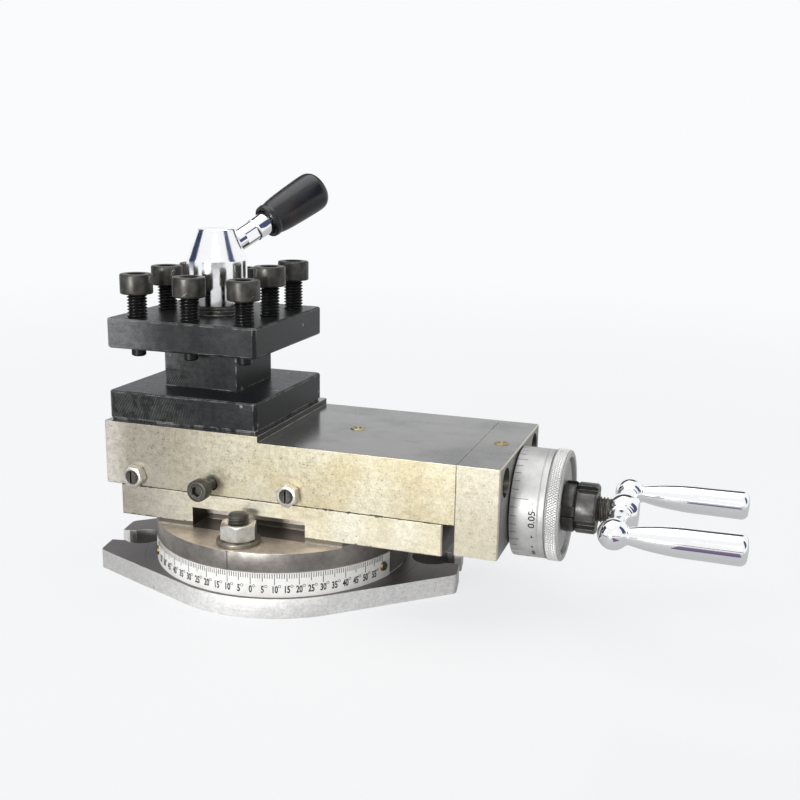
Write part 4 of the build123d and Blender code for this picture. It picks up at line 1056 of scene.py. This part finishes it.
def makeBallCrank():
    hub, ball, root, bead, throw = (crank[key] for key in ("hub", "ball", "root", "bead", "throw"))
    hubEdge = math.sqrt(hub ** 2 - bead ** 2)
    beadEnd = hubEdge + crank["beadWidth"]
    ballEdge = throw - math.sqrt(ball ** 2 - root ** 2)
    bead = [(hubEdge, bead), (beadEnd, bead), *placedAt(beadEnd, root, crank["beadFoot"])]
    waist = [*placedAt(beadEnd, root, crank["armStart"]), ((hubEdge + ballEdge) / 2, crank["neck"]),
             *placedAt(ballEdge, root, crank["armEnd"])]
    arm = roundCorners(bead, crank["beadRounding"]) + smoothThrough(waist, crank["armSteps"])
    arm += roundCorners(placedAt(ballEdge, root, crank["ballFoot"]), crank["footRounding"])
    half = arm[1:] + ballArc(throw, ball, ballEdge, throw + ball - crank["ballEnd"], crank["ballSteps"])[1:]
    middle = ballArc(0, hub, -hubEdge, hubEdge, crank["hubSteps"])
    rings = [(-height, radius) for height, radius in reversed(half)] + middle + half
    shape = bmesh.new()
    stackRings(shape, rings, crank["segments"])
    for vertex in shape.verts:
        # the arms stand back from the hub's middle, and the hub ends in a flat
        spread = min(1, max(0, (abs(vertex.co.z) / mm - hubEdge) / crank["beadWidth"]))
        vertex.co.x = min(vertex.co.x - crank["setBack"] * mm * spread, crank["flat"] * mm)
    end = spanAlong("ball_crank", screwLine)[1]
    hubPlace = screwLine.translation + slideAxis * (end - crank["flat"]) * mm
    tilted = Matrix.Rotation(math.radians(-crank["tilt"]), 3, slideAxis) @ frontward
    line = axisLine(hubPlace, tilted, slideAxis)
    finishPiece("ballCrank", shape, line, "crank", mirrorChrome, ["ball_crank"])
    return line


handle = {"seat": 0.72, "collar": [(0, 3.55), (0.8, 3.55), (1.1, 3.2)], "neck": [(1.2, 3.2), (8, 4.45)],
          "swell": [(21, 5.35), (31, 5.5)], "swellSteps": 12, "length": 45.0, "end": 5.65, "rounding": 2.6,
          "roundSteps": 8, "tip": (45.25, 0.4)}


def makeHandles(crankLine):
    look = handle
    flat = crank["ball"] * look["seat"] - crank["setBack"]
    shoulder = look["length"] - look["rounding"]
    swell = [*placedAt(flat, 0, look["neck"]), *look["swell"], (shoulder, look["end"])]
    outline = placedAt(flat, 0, look["collar"]) + smoothThrough(swell, look["swellSteps"])[1:]
    for step in range(1, look["roundSteps"]):
        angle = math.pi / 2 * step / look["roundSteps"]
        outline.append((shoulder + look["rounding"] * math.sin(angle),
                        look["end"] - look["rounding"] * (1 - math.cos(angle))))
    outline += [(look["length"], look["end"] - look["rounding"]), look["tip"]]
    for name, node, side in (("frontHandle", "front_handle", 1), ("rearHandle", "rear_handle", -1)):
        start = crankLine @ Vector((0, 0, side * crank["throw"] * mm))
        turnedPiece(name, outline, axisLine(start, slideAxis, up), "crank", mirrorChrome, [node])


makeHandles(makeBallCrank())
print("crank made")


# Dial: turned drum, diamond-knurled rim, engraved marks
dial = {"radius": 21.2, "rim": 21.6, "groove": 20.0, "grooveWidth": 0.5, "rimWidth": 5.2, "chamfer": 0.6,
        "pocket": 18.9, "pocketClear": 0.1, "overhang": 0.6, "bore": 9.0, "scribe": 2.3, "scribeDepth": 0.25,
        "slant": 0.1, "lip": (0.15, 0.2), "bed": 21.0, "knurlMargins": (0.1, 0.05), "rounding": 0.25,
        "roundSteps": 3, "segments": 144}


def makeDial():
    look, radius, rim, bed = dial, dial["radius"], dial["rim"], dial["bed"]
    start, end = spanAlong("dial", screwLine)
    end += look["overhang"]
    rimStart, rimEnd = end - look["rimWidth"], end - look["chamfer"]
    grooveStart = rimStart - look["grooveWidth"]
    pocketFloor = spanAlong("dial_spring", screwLine)[0] - look["pocketClear"]
    scribe, depth, slant = grooveStart - look["scribe"], look["scribeDepth"], look["slant"]
    lip, bedStart = (rimStart + width for width in look["lip"])
    outline = roundCorners([
        (start, look["bore"]), (start, radius), (scribe - depth, radius), (scribe, radius - depth),
        (scribe + depth, radius), (grooveStart, radius), (grooveStart + slant, look["groove"]),
        (rimStart - slant, look["groove"]), (rimStart, rim), (lip, rim), (bedStart, bed),
        (rimEnd - slant, bed), (rimEnd, rim), (end, rim - look["chamfer"]), (end, look["pocket"]),
        (pocketFloor, look["pocket"]), (pocketFloor, look["bore"]),
    ], look["rounding"], look["roundSteps"])
    turnedPiece("dialDrum", outline, screwLine, "dial", smallSteel["satinChrome"], ["dial"],
                look["segments"], hollow=True)
    lead, trail = look["knurlMargins"]
    makeKnurl(rimStart + lead, rimEnd - trail)
    return start


knurl = {"pitch": 1.0, "depth": 0.45, "proud": 0.05, "foot": 20.6, "slope": 0.6, "flank": 1.9, "fadeRows": 2,
         "stepsPerPitch": 6, "groove": (0.12, 0.12, 0.125, 1), "point": (0.78, 0.78, 0.76, 1), "metal": 0.6,
         "rough": (0.6, 0.35), "shadeTop": 0.08}


def makeKnurlSteel():
    # painted shade in the grooves and a painted highlight on the points, told apart by their distance from
    # the dial's axis
    material, tree, shader = newMaterial("knurlSteel")
    away = awayFrom(tree, *splitAxes(tree, pieceVector(tree))[:2])
    height = ramp(tree, away, (dial["rim"] - knurl["depth"]) * mm, (dial["rim"] - knurl["shadeTop"]) * mm)
    tree.links.new(mixColour(tree, height, knurl["groove"], knurl["point"]), shader.inputs["Base Color"])
    tree.links.new(ramp(tree, height, 0.0, 1.0, *knurl["rough"]), shader.inputs["Roughness"])
    shader.inputs["Metallic"].default_value = knurl["metal"]
    return material


def makeKnurl(low, high):
    girth = 2 * math.pi * dial["rim"]
    around = round(girth / knurl["pitch"])
    pitch = girth / around
    rows = round((high - low) / pitch * knurl["stepsPerPitch"])
    rings = [(low, knurl["foot"])]
    for row in range(rows + 1):
        height = low + (high - low) * row / rows
        fade = min(1, row / knurl["fadeRows"], (rows - row) / knurl["fadeRows"])

        def radius(angle, height=height, fade=fade):
            across = angle * around / (2 * math.pi)
            along = height / pitch * knurl["slope"]
            first = abs(2 * ((across + along) % 1) - 1)
            second = abs(2 * ((across - along) % 1) - 1)
            cut = 1 - min(1, min(first, second) * knurl["flank"]) * fade
            return dial["rim"] + knurl["proud"] - knurl["depth"] * cut
        rings.append((height, radius))
    rings.append((high, knurl["foot"]))
    turnedPiece("dialKnurl", rings, screwLine, "dial", makeKnurlSteel(),
                segments=around * knurl["stepsPerPitch"], hollow=True)


# Marks: flat shapes on an unrolled surface, bent round a drum and given a little thickness
markShape = {"thickness": 0.06, "curveSteps": 3, "capitals": 0.72, "ringSteps": 14}


def bendRound(reach, middle):
    # wraps a flat shape round the Z axis, its own middle at an angle in degrees
    def bend(x, y):
        angle = math.radians(middle) + x / reach
        return Vector((reach * math.cos(angle), reach * math.sin(angle), y)) * mm
    return bend


def glyphs(text, height, bold):
    curve = bpy.data.curves.new("writing", "FONT")
    curve.body = text
    curve.align_x = "CENTER"
    curve.align_y = "CENTER"
    curve.resolution_u = markShape["curveSteps"]
    curve.size = height / markShape["capitals"]
    curve.offset = height * bold
    writing = bpy.data.objects.new("writing", curve)
    mesh = bpy.data.meshes.new_from_object(writing)
    spots = [vertex.co.copy() for vertex in mesh.vertices]
    faces = [tuple(polygon.vertices) for polygon in mesh.polygons]
    bpy.data.objects.remove(writing)
    bpy.data.curves.remove(curve)
    bpy.data.meshes.remove(mesh)
    return spots, faces


def addFlat(shape, spots, faces, bend):
    made = [shape.verts.new(bend(spot[0], spot[1])) for spot in spots]
    for face in faces:
        shape.faces.new([made[index] for index in face])


def addBar(shape, left, right, low, high, bend):
    addFlat(shape, [(left, low), (right, low), (right, high), (left, high)], [(0, 1, 2, 3)], bend)


def addRing(shape, x, y, outer, inner, bend):
    spots, faces, steps = [], [], markShape["ringSteps"]
    for step in range(steps):
        angle = 2 * math.pi * step / steps
        spots += [(x + size * math.cos(angle), y + size * math.sin(angle)) for size in (outer, inner)]
        now, after = 2 * step, 2 * ((step + 1) % steps)
        faces.append((now, after, after + 1, now + 1))
    addFlat(shape, spots, faces, bend)


def finishMarks(name, shape, place, body):
    marks = finishPiece(name, shape, place, body, markInk)
    depth = marks.modifiers.new("inkDepth", "SOLIDIFY")
    depth.thickness = markShape["thickness"] * mm
    depth.offset = 0.0


angleScale = {"radius": 53.2, "proud": 0.02, "margin": 0.25, "range": 60, "tick": 1.9, "fiveTick": 3.1,
              "tenTick": 4.4, "width": 0.24, "digit": 2.8, "bold": 0.04, "narrow": 0.64, "baseline": 3.1,
              "degree": 0.58, "degreeLine": 0.17, "degreeUp": 1.425, "perDigit": 0.55, "afterDigits": 0.75}


def makeAngleScale():
    look = angleScale
    shape = bmesh.new()
    reach = look["radius"] + look["proud"]
    foot, top = heightsOf(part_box("angle_scale"))
    half, top = look["width"] / 2, top - look["margin"]
    for degree in range(-look["range"], look["range"] + 1):
        length = look["tick"]
        if degree % 5 == 0:
            length = look["tenTick"] if degree % 10 == 0 else look["fiveTick"]
        addBar(shape, -half, half, top - length, top, bendRound(reach, degree - 90))
    line = foot + look["baseline"]
    for degree in range(-look["range"] + 5, look["range"], 5):
        text = str(abs(degree))
        spots, faces = glyphs(text, look["digit"], look["bold"])
        bend = bendRound(reach, degree - 90)
        addFlat(shape, [(spot.x * look["narrow"], spot.y + line) for spot in spots], faces, bend)
        across = look["perDigit"] * len(text) + look["afterDigits"]
        outer = look["degree"]
        addRing(shape, across, line + look["degreeUp"], outer, outer - look["degreeLine"], bend)
    finishMarks("angleScaleMarks", shape, Matrix.Identity(4), "base")


dialMarks = {"proud": 0.015, "divisions": 40, "zero": -20.0, "from": 0.3, "tick": 2.5, "fiveTick": 3.6,
             "zeroTick": 6.5, "line": 0.16, "bold": 0.015, "number": (1.9, 0.7), "numberGap": 1.9,
             "signs": [("0.05", 0.0, (2.6, 1.1)), ("mm", 46.0, (1.8, 0.9))], "signsFrom": 8.7,
             "bars": [(-13.0, 1.6), (27.0, 3.4)], "arrowHead": 0.5, "headLength": 1.1}


def addSign(shape, text, size, across, bend):
    # writing that reads up the drum
    height, widen = size
    spots, faces = glyphs(text, height, dialMarks["bold"])
    addFlat(shape, [(-spot.x * widen, -spot.y + across) for spot in spots], faces, bend)


def makeDialMarks(start):
    look = dialMarks
    shape = bmesh.new()
    reach, half = dial["radius"] + look["proud"], look["line"] / 2
    for division in range(look["divisions"]):
        length = look["fiveTick"] if division % 5 == 0 else look["tick"]
        if division == 0:
            length = look["zeroTick"]
        bend = bendRound(reach, look["zero"] + division * 360 / look["divisions"])
        addBar(shape, -half, half, start + look["from"], start + look["from"] + length, bend)
        if division % 10 == 0 and division:
            addSign(shape, str(division), look["number"], start + length + look["numberGap"], bend)
    across = start + look["signsFrom"]
    for text, angle, size in look["signs"]:
        addSign(shape, text, size, across, bendRound(reach, angle))
    for angle, reachUp in look["bars"]:
        bend = bendRound(reach, angle)
        addBar(shape, -reachUp, reachUp, across - half, across + half, bend)
    for side in (-1, 1):
        # the last bar is an arrow with two heads
        tip, back = side * reachUp, side * (reachUp - look["headLength"])
        spots = [(tip, across), (back, across - look["arrowHead"]), (back, across + look["arrowHead"])]
        addFlat(shape, spots, [(0, 1, 2)], bend)
    finishMarks("dialMarks", shape, screwLine, "dial")


indexLine = {"reach": 53.015, "half": 0.16, "foot": 0.4, "top": 0.2}


def makeIndexLine():
    # the swivel's index: a fine cut down the disk's rim
    shape = bmesh.new()
    low = heightsOf(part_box("angle_scale"))[1] + indexLine["foot"]
    high = heightsOf(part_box("swivel_washers"))[0] - indexLine["top"]
    addBar(shape, -indexLine["half"], indexLine["half"], low, high, bendRound(indexLine["reach"], -90))
    finishMarks("swivelIndexLine", shape, turned, "swivel")


makeDialMarks(makeDial())
makeAngleScale()
makeIndexLine()
print("dial and scales made")


# Clamping lever: polished hub, slanted rod with spanner flats, moulded knob
lever = {
    "hub": 12.25, "shoulder": 18.6, "top": 7.6, "centre": 0.1, "rounding": 0.55, "roundSteps": 5,
    "hubSegments": 96, "azimuth": 60.0, "elevation": 27.0, "root": 20.0, "rodRoot": 4.3, "rodStart": 8.0,
    "flatStart": 14.0, "flatEnd": 20.4, "flats": 7.4,
    "rodTop": [(20.5, 4.6), (20.9, 4.75), (21.4, 4.6), (27.4, 4.8), (47.0, 4.8)],
    "knobStart": 27.4, "mouthRounding": 0.8, "knobSteps": 8, "knobSegments": 96,
    "knobMouth": [(1.6, 4.9), (1.2, 5.1), (0, 5.9), (0.2, 6.9), (2.2, 7.15), (2.9, 6.85)],
    "knobBody": [(3.1, 6.85), (5.5, 7.3), (10, 7.8), (19.2, 8.3), (26.2, 8.5), (28.8, 8.0), (30.3, 6.6),
                 (31.0, 3.8), (31.2, 0.2)],
}


def rodRings():
    def flatted(angle):
        return min(lever["rodRoot"], lever["flats"] / 2 / max(abs(math.cos(angle)), 0.01))
    start, end, root = lever["flatStart"], lever["flatEnd"], lever["rodRoot"]
    rings = [(lever["rodStart"], root), (start, root), (start, flatted), (end, flatted), (end, root)]
    return rings + lever["rodTop"]


def knobRings():
    mouth = roundCorners(lever["knobMouth"], lever["mouthRounding"])
    body = smoothThrough(lever["knobBody"], lever["knobSteps"])
    return [(lever["knobStart"] + height, radius) for height, radius in mouth + body]


def makeLever():
    low, high = heightsOf(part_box("lever_hub"))
    hubPlace = axisLine((turretLine.translation.x, turretLine.translation.y, low * mm), up, slideAxis)
    height = high - low
    outline = roundCorners([(0, lever["centre"]), (0, lever["hub"]), (lever["shoulder"], lever["hub"]),
                            (height, lever["top"]), (height, lever["centre"])], lever["rounding"],
                           lever["roundSteps"])
    turnedPiece("leverHub", outline, hubPlace, "lever", hubChrome, ["lever_hub"],
                lever["hubSegments"])
    azimuth, elevation = math.radians(lever["azimuth"]), math.radians(lever["elevation"])
    level = slideAxis * math.cos(azimuth) - frontward * math.sin(azimuth)
    along = level * math.cos(elevation) + up * math.sin(elevation)
    line = axisLine(hubPlace.translation + up * lever["root"] * mm, along, up.cross(level))
    turnedPiece("leverRod", rodRings(), line, "lever", mirrorChrome, ["lever_rod"])
    turnedPiece("leverKnob", knobRings(), line, "lever", blackPlastic, ["lever_knob"],
                lever["knobSegments"])


makeLever()
print("lever made")


# Camera: the photo's own angle
camera = {"azimuth": 8.04, "elevation": 13.29, "roll": 1.05, "place": (106.5, -412.4, 173.06),
          "focalPixels": 1053.52, "imageWidth": 800, "sensor": 36, "clip": (0.01, 20)}


def makeCamera():
    azimuth, elevation, roll = (math.radians(camera[key]) for key in ("azimuth", "elevation", "roll"))
    back = Vector((math.sin(azimuth) * math.cos(elevation), -math.cos(azimuth) * math.cos(elevation),
                   math.sin(elevation)))
    level = (-back).cross(up).normalized()
    upright = back.cross(level)
    right = level * math.cos(roll) + upright * math.sin(roll)
    overhead = upright * math.cos(roll) - level * math.sin(roll)
    data = bpy.data.cameras.new("photoCamera")
    data.sensor_width = camera["sensor"]
    data.lens = camera["focalPixels"] / camera["imageWidth"] * data.sensor_width
    data.clip_start, data.clip_end = camera["clip"]
    eye = bpy.data.objects.new("photoCamera", data)
    eye.matrix_world = Matrix((right, overhead, back)).transposed().to_4x4()
    eye.matrix_world.translation = Vector(camera["place"]) * mm
    linkPiece(eye)
    bpy.context.scene.camera = eye


# Studio: pale floor that fades into the white behind, and large soft lamps
studio = {"floorHalf": 3.0, "fadeFrom": 0.30, "fadeTo": 1.1, "white": (0.955, 0.965, 0.975, 1),
          "floor": (0.80, 0.80, 0.80, 1), "seenFloor": (0.20, 0.20, 0.20, 1), "lift": 0.78,
          "glossyLift": 0.40, "rough": 0.7, "specular": 0.15, "worldDiffuse": 0.30}
lamps = [
    {"name": "overheadSoft", "place": (-0.1, 0.1, 1.15), "target": (0, 0, 0), "size": (1.3, 1.0),
     "power": 6.0},
    {"name": "frontSoft", "place": (-0.40, -1.16, 0.14), "target": (0.05, 0, 0.05), "size": (0.26, 0.18),
     "power": 9.5},
    {"name": "fillSoft", "place": (0.25, -1.20, 0.75), "target": (0, 0, 0.03), "size": (0.6, 0.4),
     "power": 2.0},
]
# dark cards outside the picture give polished metal its dark lines and the long faces their shading
cardLook = {"toneScale": 3.0, "lighter": 1.5, "rough": 0.9}
cards = [
    {"name": "floorCard", "place": (-0.30, -0.26, 0.002), "size": (0.30, 0.40), "turn": -42.0, "flat": True,
     "tint": (0.05, 0.05, 0.05)},
    {"name": "bandCard", "place": (0.140, -0.212, 0.003), "size": (0.065, 0.20), "turn": -14.0, "flat": True,
     "tint": (0.12, 0.08, 0.18)},
    {"name": "frontCard", "place": (0.1, -0.80, 0.075), "size": (1.6, 0.05), "turn": 0.0, "flat": False,
     "tint": (0.06, 0.04, 0.09)},
    {"name": "leftCard", "place": (-0.80, 0.05, 0.45), "size": (0.55, 0.80), "turn": 90.0, "flat": False,
     "tint": (0.02, 0.035, 0.09)},
    {"name": "backCard", "place": (-0.25, 0.95, 0.90), "size": (1.9, 0.75), "turn": 0.0, "flat": False,
     "tint": (0.05, 0.045, 0.055)},
    {"name": "rightCard", "place": (0.78, -0.15, 0.60), "size": (0.36, 0.85), "turn": 78.0, "flat": False,
     "tint": (0.05, 0.065, 0.15)},
]


def flatPiece(name, corners, material):
    shape = bmesh.new()
    shape.faces.new([shape.verts.new(corner) for corner in corners])
    mesh = bpy.data.meshes.new(name)
    shape.to_mesh(mesh)
    shape.free()
    mesh.materials.append(material)
    piece = bpy.data.objects.new(name, mesh)
    linkPiece(piece)
    return piece


def seenDirectly(tree):
    # camera, glossy and transmission rays see the plain background
    rays = addNode(tree, "ShaderNodeLightPath").outputs
    seen = calc(tree, "MAXIMUM", rays["Is Camera Ray"], rays["Is Glossy Ray"])
    return calc(tree, "MAXIMUM", seen, rays["Is Transmission Ray"])


def makeFloor():
    material, tree, shader = newMaterial("paleFloor")
    shader.inputs["Roughness"].default_value = studio["rough"]
    shader.inputs["Specular IOR Level"].default_value = studio["specular"]
    shader.inputs["Emission Color"].default_value = studio["white"]
    seen = seenDirectly(tree)
    tree.links.new(mixColour(tree, seen, studio["floor"], studio["seenFloor"]), shader.inputs["Base Color"])
    straight = addNode(tree, "ShaderNodeLightPath").outputs["Is Camera Ray"]
    lift = ramp(tree, straight, 0.0, 1.0, studio["glossyLift"], studio["lift"])
    tree.links.new(times(tree, seen, lift), shader.inputs["Emission Strength"])
    glow = addNode(tree, "ShaderNodeEmission", {"Color": studio["white"]})
    away = measure(tree, "LENGTH", pieceVector(tree))
    far = times(tree, ramp(tree, away, studio["fadeFrom"], studio["fadeTo"]), seen)
    blend = addNode(tree, "ShaderNodeMixShader", {0: far, 1: shader.outputs[0], 2: glow.outputs[0]})
    tree.links.new(blend.outputs[0], tree.nodes["Material Output"].inputs["Surface"])
    half = studio["floorHalf"]
    corners = [(x, y, cadLow.z) for x, y in ((-half, -half), (half, -half), (half, half), (-half, half))]
    floor = flatPiece("floor", corners, material)


def makeLamps():
    for lamp in lamps:
        data = bpy.data.lights.new(lamp["name"], "AREA")
        data.shape = "RECTANGLE"
        data.size, data.size_y = lamp["size"]
        data.energy = lamp["power"]
        light = bpy.data.objects.new(lamp["name"], data)
        light.location = lamp["place"]
        light.rotation_mode = "QUATERNION"
        light.rotation_quaternion = (Vector(lamp["target"]) - Vector(lamp["place"])).to_track_quat("-Z", "Y")
        linkPiece(light)


def makeCards():
    for card in cards:
        material, tree, shader = newMaterial(card["name"])
        tone = noiseOf(tree, pieceVector(tree), cardLook["toneScale"])
        lighter = [part * cardLook["lighter"] for part in card["tint"]]
        tree.links.new(mixColour(tree, tone, (*card["tint"], 1), (*lighter, 1)), shader.inputs["Base Color"])
        shader.inputs["Roughness"].default_value = cardLook["rough"]
        width, height = (size / 2 for size in card["size"])
        corners = [(-width, 0, -height), (width, 0, -height), (width, 0, height), (-width, 0, height)]
        flag = flatPiece(card["name"], corners, material)
        flag.location = card["place"]
        flag.rotation_euler = (math.radians(90 if card["flat"] else 0), 0, math.radians(card["turn"]))
        flag.visible_camera = False
        flag.visible_diffuse = False
        flag.visible_shadow = False


def makeWorld():
    world = bpy.data.worlds.new("studio")
    bpy.context.scene.world = world
    world.use_nodes = True
    tree = world.node_tree
    background = tree.nodes["Background"]
    background.inputs["Color"].default_value = studio["white"]
    strength = ramp(tree, seenDirectly(tree), 0.0, 1.0, studio["worldDiffuse"], 1.0)
    tree.links.new(strength, background.inputs["Strength"])


makeCamera()
makeFloor()
makeLamps()
makeCards()
makeWorld()
bpy.context.scene.view_settings.view_transform = "Standard"
print("camera and studio made")
